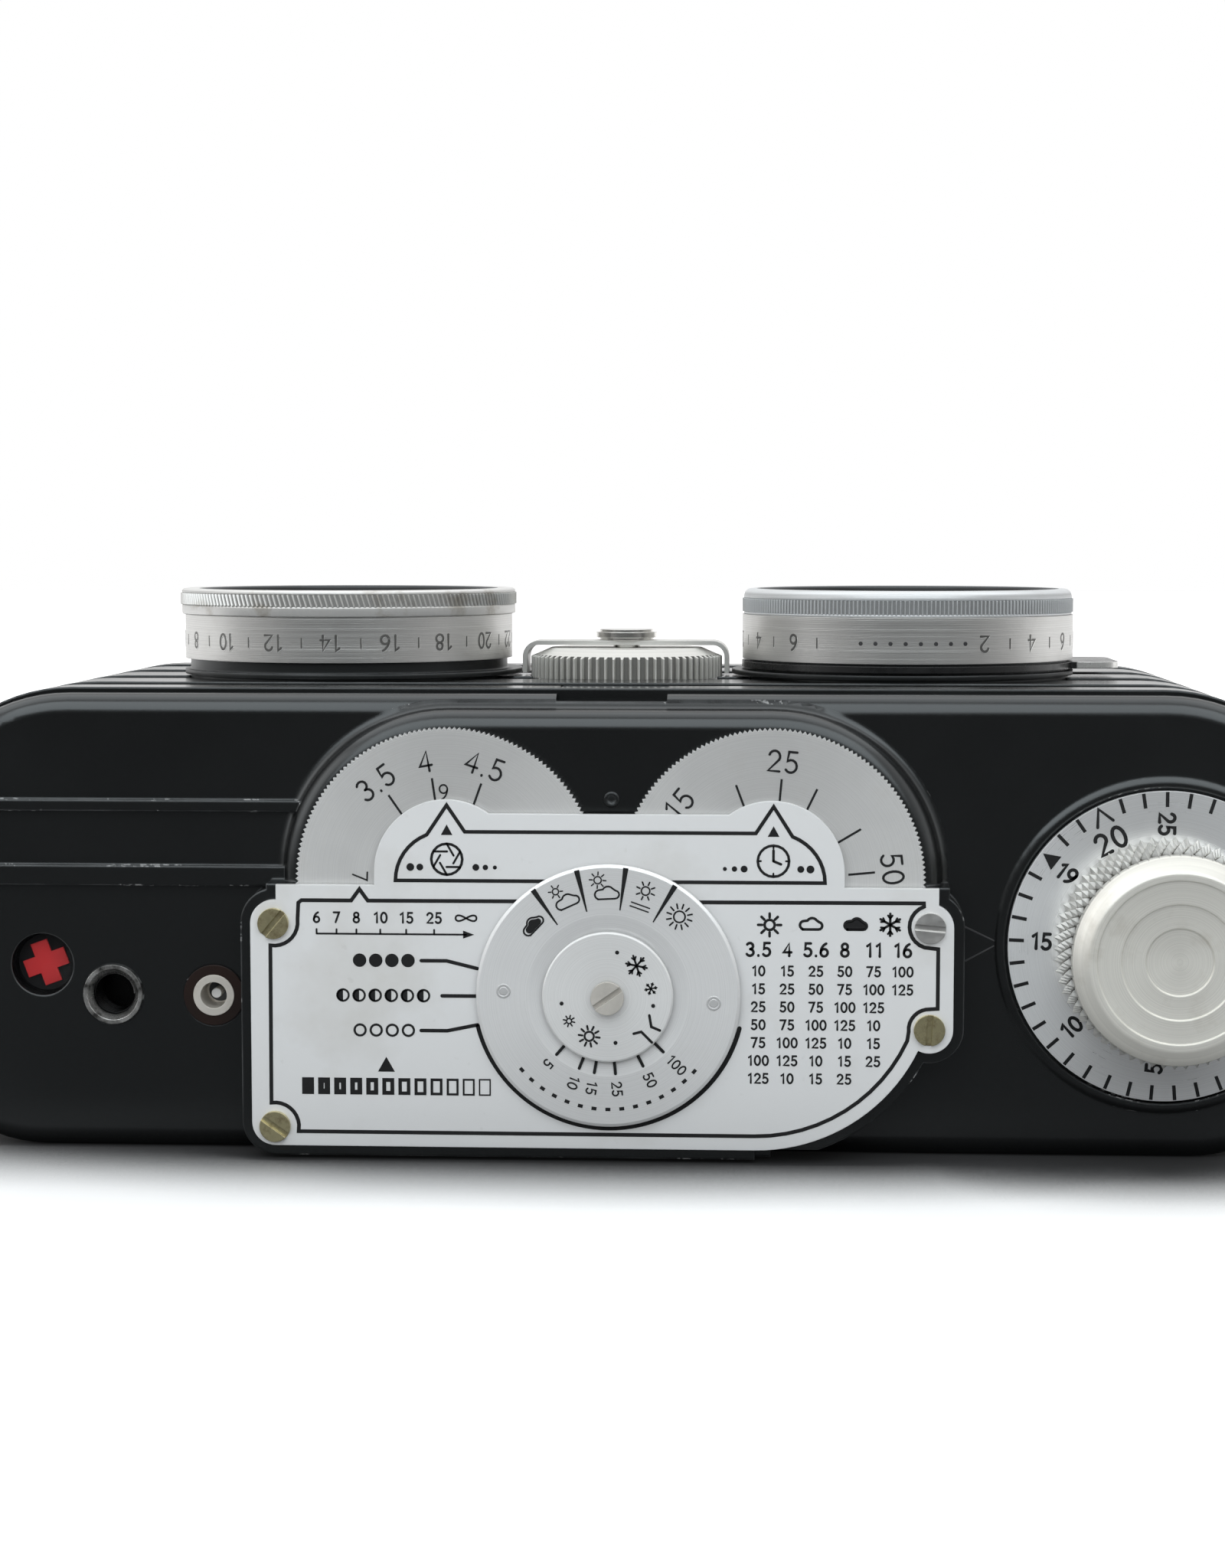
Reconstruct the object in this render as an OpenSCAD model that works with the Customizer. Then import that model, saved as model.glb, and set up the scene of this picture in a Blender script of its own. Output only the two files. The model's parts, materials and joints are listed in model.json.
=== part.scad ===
// Stereo camera with two taking lenses, lying on its back with the lenses up.
// X runs along the body, Y from the dial face to the base, Z from the back to the lenses.
// Depths are measured into the body from the dial face, and heights stand out of it.

/* [Body] */
// Length of the body over its round ends
body_w = 147; // [146:0.5:156]
// Height of the body from the dial face to the base
body_h = 63.2; // [62.8:0.2:68]
// Depth of the body from its back to the front edge of the covers
body_d = 46.7; // [46:0.1:50]
// Radius of the two front corners
front_r = 18; // [16:0.5:19]
// Radius of the two rear corners
rear_r = 15; // [14:0.5:16]
// Rounding of the covers' outer edges
edge_r = 2; // [0.8:0.1:2]
// Thickness of the top and base covers
cover_t = 2.4; // [2.1:0.1:2.7]
// Inset of the body's sides behind the covers' edges
side_inset = 0.3; // [0.1:0.1:0.6]

/* [Front cover] */
// Thickness of the ribbed front cover
front_t = 2.2; // [1.8:0.1:2.6]
// Height of the front cover over the covers' front edge
front_proud = 0.8; // [0.4:0.1:1.2]
// Number of grooves between the ribs
groove_count = 4; // [2:2:4]
// Distance between the grooves
groove_pitch = 14; // [12:0.5:14]
// Width of a groove
groove_w = 6; // [4:0.5:7]
// Depth of a groove
groove_depth = 0.7; // [0.3:0.1:1]

/* [Lenses] */
// Distance between the two lens axes
lens_base = 62; // [61:0.5:64]
// Radius of the main lens rings
ring_r = 18.15; // [18:0.05:18.6]
// Height of the main lens rings
ring_h = 4.85; // [4:0.05:7]
// Radius of the black tubes behind the rings
tube_r = 17.6; // [17.2:0.1:17.7]
// Wall of the black tubes
tube_wall = 1.3; // [1:0.1:1.6]
// Length of tube that shows under a main ring
tube_show = 1.7; // [1.6:0.1:3]
// Radius of the left retaining ring
left_cap_r = 18.6; // [18.2:0.1:19.2]
// Radius of the right retaining ring
right_cap_r = 18.1; // [17.8:0.1:18.6]
// Height of the retaining rings
cap_h = 2.8; // [2:0.1:4]
// Radius of the flange round a tube on the front cover
flange_r = 18.2; // [18.1:0.1:18.4]
// Reach of the flange's lobe towards the wheel
flange_lobe = 1.1; // [0.6:0.1:1.2]
// Thickness of that flange
flange_t = 0.5; // [0.4:0.1:0.6]
// Travel of the lens board between the two film rows
lens_travel = 12; // [10:2:12]
// Radius of a lens cell
cell_r = 6.4; // [5.5:0.1:6.6]
// Radius of a lens cell's glass
glass_r = 4.6; // [3.5:0.1:5]

/* [Thumbwheel] */
// Radius of the wheel between the lenses
wheel_r = 10.6; // [9:0.1:10.7]
// Height of the wheel's fluted rim
wheel_rim_h = 2.6; // [2.2:0.1:3]
// Height of the bevel over the rim
wheel_bevel_h = 0.7; // [0.4:0.1:1.2]
// Depth of the wheel's pocket in the front cover
pocket_depth = 0.8; // [0.6:0.1:0.9]
// Depth of a flute
flute_depth = 0.5; // [0.3:0.05:0.8]
// Number of flutes round the rim
wheel_flutes = 72; // [48:4:80]
// Thickness of the bridge strap over the wheel
strap_t = 0.5; // [0.4:0.1:0.6]
// Width of the bridge strap
strap_w = 5; // [3:0.5:7]
// Radius of the cap on the strap
cap_r = 3.4; // [2.5:0.1:4.5]
// Teeth on the wheel's pinion
pinion_teeth = 12; // [12:4:16]

/* [Dials] */
// Distance between the two dial centres
dial_base = 32.4; // [31.8:0.2:33]
// Height of the dial centres over the back
dial_z = 28.4; // [27.8:0.1:28.8]
// Radius of a dial
dial_r = 15.25; // [14.4:0.05:15.4]
// Thickness of a dial
dial_t = 0.9; // [0.6:0.1:1.1]
// Teeth round a dial's edge
dial_teeth = 190; // [60:10:200]
// Height of the boss that carries the dials
boss_h = 2.9; // [2:0.1:4]
// Width of the boss outside a dial
boss_margin = 1.6; // [1:0.1:1.8]
// Radius of a dial's shaft
dial_shaft_r = 2; // [1.5:0.1:2.5]

/* [Exposure plate] */
// Thickness of the plate
plate_t = 0.7; // [0.5:0.1:1]
// Distance of the plate's left edge from the left end
plate_left_inset = 37.6; // [37.2:0.1:38]
// Distance of the plate's right edge from the right end
plate_right_inset = 39.3; // [38.8:0.1:39.6]
// Lower edge of the plate over the back
plate_low = 1.5; // [1.4:0.1:2]
// Upper edge of the plate over the back
plate_high = 27.9; // [27.4:0.1:28.4]
// Width of the black rim round the plate
rim_w = 1.1; // [0.6:0.1:1.3]
// Radius of the plate's tongue over each dial
tongue_r = 7.2; // [6.5:0.1:7.6]
// Radius of the plate's lower right corner
plate_corner_r = 17.9; // [15:0.1:18.5]
// Radius of a plate screw's head
screw_r = 1.55; // [1.2:0.05:1.7]

/* [Exposure calculator] */
// Radius of the outer disc
disc_r = 13.15; // [11.5:0.05:13.4]
// Height of the disc's centre over the back
disc_z = 17.05; // [16.4:0.05:17.6]
// Thickness of the outer disc
disc_t = 0.6; // [0.4:0.1:0.9]
// Radius of the inner disc
season_r = 6.5; // [5:0.1:8]
// Thickness of the inner disc
season_t = 0.4; // [0.3:0.1:0.7]
// Radius of the centre screw's head
pivot_head_r = 1.65; // [1.5:0.05:2.4]

/* [Film knob and counter] */
// Distance of the knob's axis from the right end
knob_inset = 18; // [17.7:0.1:18.4]
// Height of the knob's axis over the back
knob_z = 21.65; // [21.4:0.05:21.9]
// Radius of the counter dial
counter_r = 15.65; // [14.8:0.05:15.8]
// Thickness of the counter dial
counter_t = 0.9; // [0.7:0.1:1.1]
// Height of the counter dial over the dial face
counter_proud = 0.5; // [0.3:0.1:0.6]
// Radius of the knob over its knurl
knob_r = 10.9; // [10.4:0.1:12]
// Radius of the knob's flat top
knob_top_r = 9.7; // [8.8:0.1:10]
// Height of the knob's top over the dial face
knob_proud = 11.6; // [9:0.2:14]
// Drop of each round step in the knob's top
knob_step = 0.2; // [0.1:0.05:0.3]
// Ridges round the knob
knob_ridges = 88; // [48:4:96]
// Radius of the knob's shaft in the counter's sleeve
knob_shaft_r = 2.2; // [2:0.1:2.4]
// Thickness of a gear in the counter's train
gear_t = 0.95; // [0.8:0.05:1.1]
// Distance between the train's axes
idler_span = 15; // [14.6:0.1:15.2]

/* [Film transport] */
// Radius of the two film wells
well_r = 12.7; // [12.5:0.1:12.8]
// Wall between the gear bay and a film well
well_wall = 1.6; // [1.2:0.1:2]
// Distance of the supply axis from the left end
supply_inset = 15.2; // [15.1:0.1:15.6]
// Height of the supply axis over the back
supply_z = 18.9; // [18.7:0.1:19.2]
// Height of the film plane over the back
film_z = 6.4; // [6.2:0.1:6.6]
// Width of the film
film_w = 35; // [34:0.5:35]
// Pitch of the film's perforations
perf_pitch = 4.75; // [4.6:0.05:4.8]
// Teeth in one ring of the sprocket
sprocket_teeth = 8; // [6:2:8]
// Width of a picture opening in the gate
gate_w = 13; // [11:0.5:14]
// Height of a picture opening in the gate
gate_h = 25; // [22:0.5:26]

/* [Rear door] */
// Thickness of the door
door_t = 2; // [1.6:0.1:2.2]
// Height of the door's free end over the back
door_end_z = 8; // [7:0.1:8]
// Radius of the hinge's barrel
barrel_r = 1.7; // [1.5:0.1:1.8]
// Radius of the hinge pin
hinge_pin_r = 0.8; // [0.6:0.05:0.9]
// Distance of the hinge's axis inside the body's surface
hinge_skin = 0.9; // [0.6:0.1:1]
// Length of the door's own barrel
barrel_len = 40; // [30:1:46]
// Travel of the door's lock
lock_travel = 5; // [3.6:0.2:5]

/* [Sockets] */
// Distance of the cable release bush from the left end
cable_inset = 22.5; // [22.2:0.1:22.8]
// Distance of the flash contact from the left end
flash_inset = 32.9; // [32.6:0.1:33]
// Radius of the cable release bush
cable_r = 3.05; // [2.8:0.05:3.4]
// Radius of the cable release thread
cable_bore_r = 2.15; // [1.6:0.05:2.3]
// Radius of the flash contact's insulator
flash_r = 3.1; // [2.8:0.05:3.5]
// Radius of the film indicator's window
window_r = 3.2; // [2.9:0.05:3.5]
// Radius of the tripod thread
tripod_bore_r = 3.05; // [2.8:0.05:4]
// Outer radius of the tripod bush
tripod_r = 6; // [5:0.1:7]

/* [Clearances] */
// Gap between pieces that move past each other
gap = 0.3; // [0.25:0.05:0.35]
// Radial clearance of a shaft in its bearing
run = 0.05; // [0.02:0.01:0.08]

/* [Hidden] */
$fn = 64;
half_w = body_w / 2;
top_y = (knob_proud - body_h) / 2;
base_y = top_y + body_h;
lens_y = top_y + body_h / 2;
lens_depth = body_h / 2;
lens_x = lens_base / 2;
knob_x = half_w - knob_inset;
supply_x = half_w - supply_inset;
plate_left = half_w - plate_left_inset;
plate_right = half_w - plate_right_inset;
front_z = body_d + front_proud;
front_in = front_z - front_t;
split_z = body_d - front_r;
far = 200;

// Levels of the dials, plate and discs over the dial face
dial_low = boss_h + gap;
dial_top = dial_low + dial_t;
plate_bottom = dial_top + gap;
plate_top = plate_bottom + plate_t;
disc_low = plate_top + gap;
disc_top = disc_low + disc_t;
season_low = disc_top + gap;
season_top = season_low + season_t;
dial_x = dial_base / 2;
tray_low = plate_low - rim_w;
ear_r = screw_r + 0.8;
shoulder = 2.6;
left_screw_x = -plate_left + ear_r;
right_screw_x = plate_right - ear_r;
upper_screw_z = plate_high - 3.9;
lower_screw_z = plate_low + ear_r - 0.4;
corner_x = 14.6;
corner_z = plate_low + plate_corner_r;
side_screw_z = corner_z - 5.6;
tongue_z = plate_high + 1.4;
tongue_bar_z = plate_high + 7.2;
cam_r = 4.4;
cam_throw = 1.4;
boss_flare = 1;
boss_round = 1.9;

// Depths of the gear bay and of the film wells
gear_gap = 0.35;
upper_gear = cover_t + gear_gap + 0.15;
lower_gear = upper_gear + gear_t + gear_gap;
bay_floor = lower_gear + gear_t + gear_gap;
well_top = bay_floor + well_wall;
well_low = body_h - well_top;
well_h = well_low - well_top;
path_half = film_w / 2 + 0.9;
axle_r = 1.5;

// Gear train from the knob to the counter, one turn to forty
first_teeth = 12;
idler_teeth = 60;
second_teeth = 8;
counter_teeth = 64;
gear_mod = 2 * idler_span / (first_teeth + idler_teeth);
idler_x = knob_x - idler_span;
sleeve_wall = 1.3;
sleeve_r = knob_shaft_r + run + sleeve_wall;
idler_pin_r = 0.7;
recess_floor = counter_t - counter_proud + gap;

// Lens chamber, lens board and shutter
chamber_half_x = 42;
chamber_half_y = 19;
chamber_z = 27;
board_z = 33;
board_t = 1.8;
board_half_y = 12;
board_y = lens_y - lens_travel / 2;
board_half_x = chamber_half_x - 1;
rack_pitch = lens_travel * 2 / pinion_teeth;
pinion_r = pinion_teeth * rack_pitch / (2 * PI);
tooth_high = 0.5;
tooth_deep = 0.75;
pinion_t = 2;
pinion_z = board_z + board_t + 0.5;
rod_r = 1.2;
rod_x = 19;
rod_z = board_z + board_t + 3;
rod_seat = 1.5;
guide_w = 2.6;
guide_len = 8;
tunnel_half_x = 9;
tunnel_half_y = 16;
wheel_shaft_r = 2;
blade_t = 0.6;
blade_z = 30.9;
blade_travel = 12;
blade_half = 6.5;
cell_low = board_z - 0.8;
tube_floor = 1.2;
slot_half = cell_r + 0.6;

// Lens rings from the front cover outwards
ring_z = front_z + tube_show;
cap_z = ring_z + ring_h;
ring_in = tube_r - tube_wall;
wheel_low = front_z + gap - pocket_depth;
wheel_top = wheel_low + wheel_rim_h + wheel_bevel_h;
strap_low = wheel_top + gap;
strap_half = wheel_r + gap + strap_t;

// Finder tunnel over the film path
finder_x = 5.6;
finder_high = 4.3;
finder_low = lens_depth - chamber_half_y - 0.9;
finder_wall = 0.7;

// Sprocket between the two picture openings
sprocket_r = sprocket_teeth * perf_pitch / (2 * PI);
sprocket_z = film_z + sprocket_r;
tooth_row = film_w / 2 - 3.3;

// Door, hinge at the left rear corner and lock at the right end
door_in = side_inset + door_t;
hinge_angle = 215;
hinge_reach = rear_r - side_inset - hinge_skin;
left_corner_x = -(half_w - rear_r);
hinge_x = left_corner_x + hinge_reach * cos(hinge_angle);
hinge_z = rear_r + hinge_reach * sin(hinge_angle);
door_high = cover_t + gap;
door_low = body_h - cover_t - gap;
plate_half = 11;
spring_t = 0.35;
spring_w = 4;
spring_y = 9;
pressure_t = 0.8;
pressure_top = film_z - 0.3;
eye_r = (finder_low - finder_high) / 2 + finder_wall;
eye_glass_r = eye_r - 1.2;
eye_depth = (finder_high + finder_low) / 2;
catch_half = 3;
bolt_r = 1.1;
bolt_x = knob_x + 9.1;
bolt_z = door_end_z + 1.4;
bolt_len = lock_travel + 0.2;
arm_w = 2.6;
arm_t = 1.4;
arm_x = knob_x + well_r + 0.3;
thumb_len = 10;
thumb_high = split_z - 2.7;
thumb_low = thumb_high - thumb_len;
arm_top = thumb_low + 3;
thumb_t = 1.2;
thumb_w = 8;
lock_depth = lens_depth + catch_half + 0.5;

// Sockets on the dial face
cable_x = cable_inset - half_w;
cable_z = 15.9;
flash_x = flash_inset - half_w;
flash_z = 15.9;
tripod_z = 22;
head_depth = 1.8;
head_t = 1.2;
fork_len = 8;
fork_slot = 5;
tripod_len = 6.5;
base_screw_r = 2.2;
base_screw_len = 5;
screw_head_t = 1;
base_screw_x = half_w - 23.5;
base_screw_low = 12;
base_screw_high = 36;

// Red and metal tones
enamel = "#191a1b";
satin = "#c9cbcc";
nickel = "#b9b7b0";
steel = "#9a9c9e";
brass = "#b9a255";
glass_tint = [0.75, 0.85, 0.9, 0.4];

// Frame of the dial face: X and Z lie in it, and up stands out of it, from a given depth
module face(depth = 0) {
    translate([0, top_y + depth, 0]) rotate([90, 0, 0]) children();
}

// Solid between two depths below the dial face, from a shape drawn in X and Z
module slice(depth0, depth1) {
    face(depth1) linear_extrude(depth1 - depth0) children();
}

// Round rod square to the dial face, between two depths
module post(x, z, r, depth0, depth1) {
    face(depth1) translate([x, z, 0]) cylinder(r = r, h = depth1 - depth0);
}

// Turned piece square to the dial face, from a section of radius and height
module turned(x, z) {
    face() translate([x, z, 0]) rotate_extrude() children();
}

// Box given by its low corner and its high corner
module span(low, high) {
    translate(low) cube(high - low);
}

// Outline of the body seen on the dial face
module outline(inset = 0, front = 0) {
    w = half_w - inset;
    high = body_d + front - inset;
    rf = front_r - inset;
    rr = rear_r - inset;
    for (s = [-1, 1]) {
        translate([s * (w - rf), high - rf]) circle(rf);
        translate([s * (w - rr), inset + rr]) circle(rr);
    }
    translate([-w, inset + rr]) square([2 * w, high - rf - inset - rr]);
    translate([rf - w, high - 2 * rf]) square([2 * (w - rf), 2 * rf]);
    translate([rr - w, inset]) square([2 * (w - rr), 2 * rr]);
}

// Quarter round that finishes a cover's edge
module edge_quarter() {
    intersection() {
        circle(edge_r);
        square(edge_r);
    }
}

// Rounded rim of a cover, from straight runs and turned corners
module edge_rim() {
    for (s = [0, 1]) mirror([s, 0, 0]) {
        translate([half_w - edge_r, body_d - front_r, 0]) rotate([90, 0, 0])
            linear_extrude(body_d - front_r - rear_r) edge_quarter();
        translate([half_w - front_r, body_d - front_r, 0]) rotate_extrude(angle = 90)
            translate([front_r - edge_r, 0]) edge_quarter();
        translate([half_w - rear_r, rear_r, 0]) rotate([0, 0, -90]) rotate_extrude(angle = 90)
            translate([rear_r - edge_r, 0]) edge_quarter();
    }
    translate([front_r - half_w, body_d - edge_r, 0]) rotate([90, 0, 90])
        linear_extrude(2 * (half_w - front_r)) edge_quarter();
    translate([half_w - rear_r, edge_r, 0]) rotate([90, 0, -90])
        linear_extrude(2 * (half_w - rear_r)) edge_quarter();
}

// Flat cover with a rounded outer edge, its inner side down
module cover_blank() {
    linear_extrude(cover_t - edge_r) outline();
    linear_extrude(cover_t) outline(edge_r);
    translate([0, 0, cover_t - edge_r]) edge_rim();
}

// Round outline with fine pointed teeth
module toothed(r, depth, count) {
    polygon([for (i = [0 : 2 * count - 1])
        (i % 2 == 0 ? r : r - depth) * [cos(180 * i / count), sin(180 * i / count)]]);
}

// Gear outline with straight flanks and room for play
module gear_outline(teeth, pitch_r, high, deep) {
    step = 360 / teeth;
    polygon([for (i = [0 : teeth - 1], k = [[-deep, -0.23], [high, -0.1], [high, 0.1], [-deep, 0.23]])
        (pitch_r + k[0]) * [cos(step * (i + k[1])), sin(step * (i + k[1]))]]);
}

module train_gear(teeth) {
    gear_outline(teeth, teeth * gear_mod / 2, 0.7 * gear_mod, 1.1 * gear_mod);
}

// Places its children at both lens axes
module at_lens(side) {
    translate([side * lens_x, lens_y, 0]) children();
}

// Tube along a lens axis
module lens_pipe(side, outer, inner, z0, z1) {
    at_lens(side) translate([0, 0, z0]) difference() {
        cylinder(r = outer, h = z1 - z0, $fn = 128);
        translate([0, 0, -1]) cylinder(r = inner, h = z1 - z0 + 2, $fn = 128);
    }
}

// Grooves that leave the ribs standing, round the front and the ends
module rib_grooves() {
    for (i = [0 : groove_count - 1]) {
        depth = lens_depth + (i - (groove_count - 1) / 2) * groove_pitch;
        slice(depth - groove_w / 2, depth + groove_w / 2) difference() {
            outline(-1, front_proud);
            outline(side_inset + groove_depth, front_proud);
        }
    }
}

// Zone of the body's outline that the door takes up
module door_zone(end_z) {
    translate([0, -1]) square([half_w + 1, end_z + 1]);
    polygon([
        [left_corner_x, rear_r],
        [left_corner_x + far * cos(hinge_angle), rear_r + far * sin(hinge_angle)],
        [left_corner_x, -far],
        [1, -far],
        [1, rear_r]
    ]);
}

module hinge_circle(r) {
    translate([hinge_x, hinge_z]) circle(r);
}

// Plan of the main casting: the ends stand out past the door and the front cover
module body_plan() {
    intersection() {
        outline(door_in + gap);
        translate([-far, 0]) square([2 * far, split_z]);
    }
    difference() {
        outline(side_inset);
        door_zone(door_end_z + gap);
        translate([-far, split_z]) square([2 * far, far]);
    }
    difference() {
        outline(side_inset + front_t, front_proud);
        translate([-far, -1]) square([2 * far, split_z]);
    }
}

// Film well with its mouth towards the back
module well_plan(x, z, left, right) {
    translate([x, z]) circle(well_r);
    translate([left, -1]) square([right - left, z + 1]);
}

// Body casting in full, before it is parted into a middle and two end plates
module casting() difference() {
    union() {
        slice(cover_t, body_h - cover_t) body_plan();
        for (depth = [cover_t, lens_depth + barrel_len / 2 + gap])
            slice(depth, depth + lens_depth - cover_t - barrel_len / 2 - gap) hinge_circle(barrel_r);
    }
    slice(lens_depth - barrel_len / 2 - gap, lens_depth + barrel_len / 2 + gap)
        hinge_circle(barrel_r + gap);
    post(hinge_x, hinge_z, hinge_pin_r, cover_t, body_h - cover_t);
    rib_grooves();
    slice(well_top, well_low) {
        well_plan(-supply_x, supply_z, hinge_x + barrel_r + gap, well_r - supply_x);
        well_plan(knob_x, knob_z, knob_x - well_r, knob_x + well_r);
    }
    slice(lens_depth - path_half, lens_depth + path_half) {
        translate([-supply_x, -1]) square([supply_x + knob_x, film_z + 1]);
        translate([0, sprocket_z]) circle(sprocket_r + 1.6);
    }
    for (s = [-1, 1]) at_lens(s) {
        span([-gate_w / 2, -gate_h / 2, 0], [gate_w / 2, gate_h / 2, chamber_z]);
        span([-tunnel_half_x, -tunnel_half_y, film_z + 2], [tunnel_half_x, tunnel_half_y, chamber_z + 1]);
    }
    translate([0, lens_y, 0]) {
        span([-chamber_half_x, -chamber_half_y, chamber_z], [chamber_half_x, chamber_half_y, far]);
        span([-lens_x - blade_half - blade_travel - gap, -board_half_y, blade_z - gap],
             [0, chamber_half_y, blade_z + blade_t + gap]);
    }
    for (s = [-1, 1])
        translate([s * rod_x, lens_y - chamber_half_y - rod_seat, rod_z]) rotate([-90, 0, 0])
            cylinder(r = rod_r, h = 2 * (chamber_half_y + rod_seat));
    slice(0, bay_floor) gear_bay();
    post(-supply_x, supply_z, dial_shaft_r + run, 0, well_top + 1);
    post(knob_x, knob_z, axle_r + run, 0, well_low + 1.2);
    post(idler_x, knob_z, idler_pin_r, 0, bay_floor + 1);
    post(0, sprocket_z, axle_r + run, lens_depth - path_half - 1.2, lens_depth + path_half + 1.2);
    span([-finder_x, top_y + finder_high, -1], [finder_x, top_y + finder_low, far]);
    post(0, tripod_z, tripod_r, body_h - tripod_len, body_h);
    for (s = [-1, 1], z = [base_screw_low, base_screw_high])
        post(s * base_screw_x, z, base_screw_r / 2, body_h - base_screw_len, body_h);
    lock_room();
}

// Part of the casting between two depths
module casting_part(depth0, depth1) color(enamel) intersection() {
    casting();
    span([-far, top_y + depth0, -1], [far, top_y + depth1, far]);
}

// Middle of the casting with the film wells, the light tunnels and the lens chamber
module main_body() casting_part(well_top, well_low);

// Plate over the film wells, with the gear bay in it
module gear_plate() casting_part(0, well_top);

// Plate under the film wells, with the seat of the tripod bush
module floor_plate() casting_part(well_low, body_h);

// Bays under the top cover for the gears, the cams and the sockets
module gear_bay() {
    translate([knob_x, knob_z]) circle((counter_teeth / 2 + 1.6) * gear_mod);
    translate([idler_x, knob_z]) circle((idler_teeth / 2 + 1.6) * gear_mod);
    for (s = [-1, 1]) translate([s * dial_x, dial_z]) circle(cam_r + cam_throw + 0.6);
    translate([-supply_x, supply_z]) circle(window_r);
    translate([cable_x, cable_z]) circle(cable_r);
    translate([flash_x, flash_z]) circle(flash_r);
}

// Room in the right end wall for the lock's arm, stem and thumb plate
module lock_room() {
    y0 = top_y + lock_depth + bolt_len - lock_travel - gap;
    y1 = top_y + lock_depth + bolt_len + arm_w + gap;
    span([knob_x, y0, bolt_z - bolt_r - 2 * gap], [arm_x + arm_t + gap, y1, arm_top + gap]);
    span([knob_x, y0, arm_top - 2 - gap], [far, y1, arm_top + gap]);
    span([half_w - side_inset - thumb_t - gap, y0 - thumb_w / 2 + arm_w / 2, thumb_low - gap],
         [far, y1 + thumb_w / 2 - arm_w / 2, thumb_high + gap]);
}

// Section of the boss that carries a dial: rounded above, flared below
module boss_section(r) {
    translate([0, -edge_r]) square([r, edge_r + boss_h - boss_round]);
    square([r - boss_round, boss_h]);
    translate([r - boss_round, boss_h - boss_round]) circle(boss_round);
    difference() {
        translate([r - 0.01, 0]) square(boss_flare);
        translate([r + boss_flare, boss_flare]) circle(boss_flare);
    }
}

// Outline of the exposure plate, grown all round by a margin
module plate_plan(grow = 0) {
    difference() {
        union() {
            translate([-plate_left - grow, plate_low + ear_r])
                square([plate_left + corner_x + grow, upper_screw_z - plate_low - ear_r]);
            translate([left_screw_x, plate_low - grow])
                square([corner_x - left_screw_x, upper_screw_z - plate_low + grow]);
            translate([shoulder - plate_left - grow, plate_low])
                square([plate_left + plate_right - 2 * shoulder + 1.1 + 2 * grow,
                        plate_high - plate_low + grow]);
        }
        translate([corner_x, corner_z - far]) difference() {
            square(far);
            translate([0, far]) circle(plate_corner_r + grow);
        }
    }
    translate([right_screw_x - ear_r - grow, side_screw_z])
        square([2 * (ear_r + grow), upper_screw_z - side_screw_z]);
    for (p = [[left_screw_x, upper_screw_z], [left_screw_x, plate_low + ear_r],
              [right_screw_x, upper_screw_z], [right_screw_x, side_screw_z]])
        translate(p) circle(ear_r + grow);
}

// Tongue of the plate that reaches over the two dials
module tongue_plan() {
    for (s = [-1, 1]) {
        translate([s * dial_x, tongue_z]) circle(tongue_r);
        translate([s * dial_x - tongue_r, plate_high - 3]) square([2 * tongue_r, tongue_z - plate_high + 3]);
    }
    translate([-dial_x, plate_high - 3]) square([dial_base, tongue_bar_z - plate_high + 3]);
}

module top_cover() color(enamel) difference() {
    union() {
        face(cover_t) cover_blank();
        for (s = [-1, 1]) turned(s * dial_x, dial_z) boss_section(dial_r + boss_margin);
        face() translate([-dial_x, dial_z, 0]) rotate([90, 0, 90]) linear_extrude(dial_base)
            boss_section(dial_r + boss_margin);
        slice(-boss_h, 0) translate([-dial_x, tray_low]) square([dial_base, dial_z - tray_low]);
        slice(-plate_bottom, edge_r) intersection() {
            plate_plan(rim_w);
            translate([-far, tray_low]) square([2 * far, plate_high - tray_low]);
        }
        accessory_rails();
        turned(knob_x, knob_z) counter_lip();
    }
    for (s = [-1, 1]) {
        post(s * dial_x, dial_z, dial_r + gap, -far, -boss_h);
        post(s * dial_x, dial_z, dial_shaft_r + run, -far, cover_t + 1);
    }
    slice(-far, -boss_h) translate([-dial_x, dial_z]) square([dial_base, far]);
    post(0, disc_z, 1, -far, 1);
    for (p = screw_places) post(p[0], p[1], screw_r / 2, -far, 0);
    post(knob_x, knob_z, counter_r + gap, -far, recess_floor);
    post(knob_x, knob_z, sleeve_r + run, -far, cover_t + 1);
    post(-supply_x, supply_z, window_r, -far, cover_t + 1);
    post(cable_x, cable_z, cable_r, -far, cover_t + 1);
    post(flash_x, flash_z, flash_r, -far, cover_t + 1);
    finder_notch();
}

// Places of the plate's screws and the angles of their slots
screw_turns = [50, -35, -5, 86];
screw_places = [
    [left_screw_x, upper_screw_z], [left_screw_x, lower_screw_z],
    [right_screw_x, upper_screw_z], [right_screw_x, side_screw_z]
];

// Two rails of the accessory guide on the left of the dial face
module accessory_rails() {
    rail_h = 0.7;
    for (rail = [[27.2, 2], [34.8, 1.1]])
        slice(-rail_h, 0.2) intersection() {
            translate([-far, rail[0]]) square([far - dial_x, rail[1]]);
            outline(edge_r);
        }
}

// Soft raised lip round the counter's recess
module counter_lip() {
    translate([counter_r + gap + 0.3, 0]) intersection() {
        translate([0, -1]) circle(1.25);
        translate([-1.2, -0.6]) square(2.4);
    }
}

// Notch in the front edge over the finder's window
module finder_notch() {
    span([-finder_x, top_y - 1, body_d - 0.7], [finder_x, top_y + far / 4, far]);
}

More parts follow.
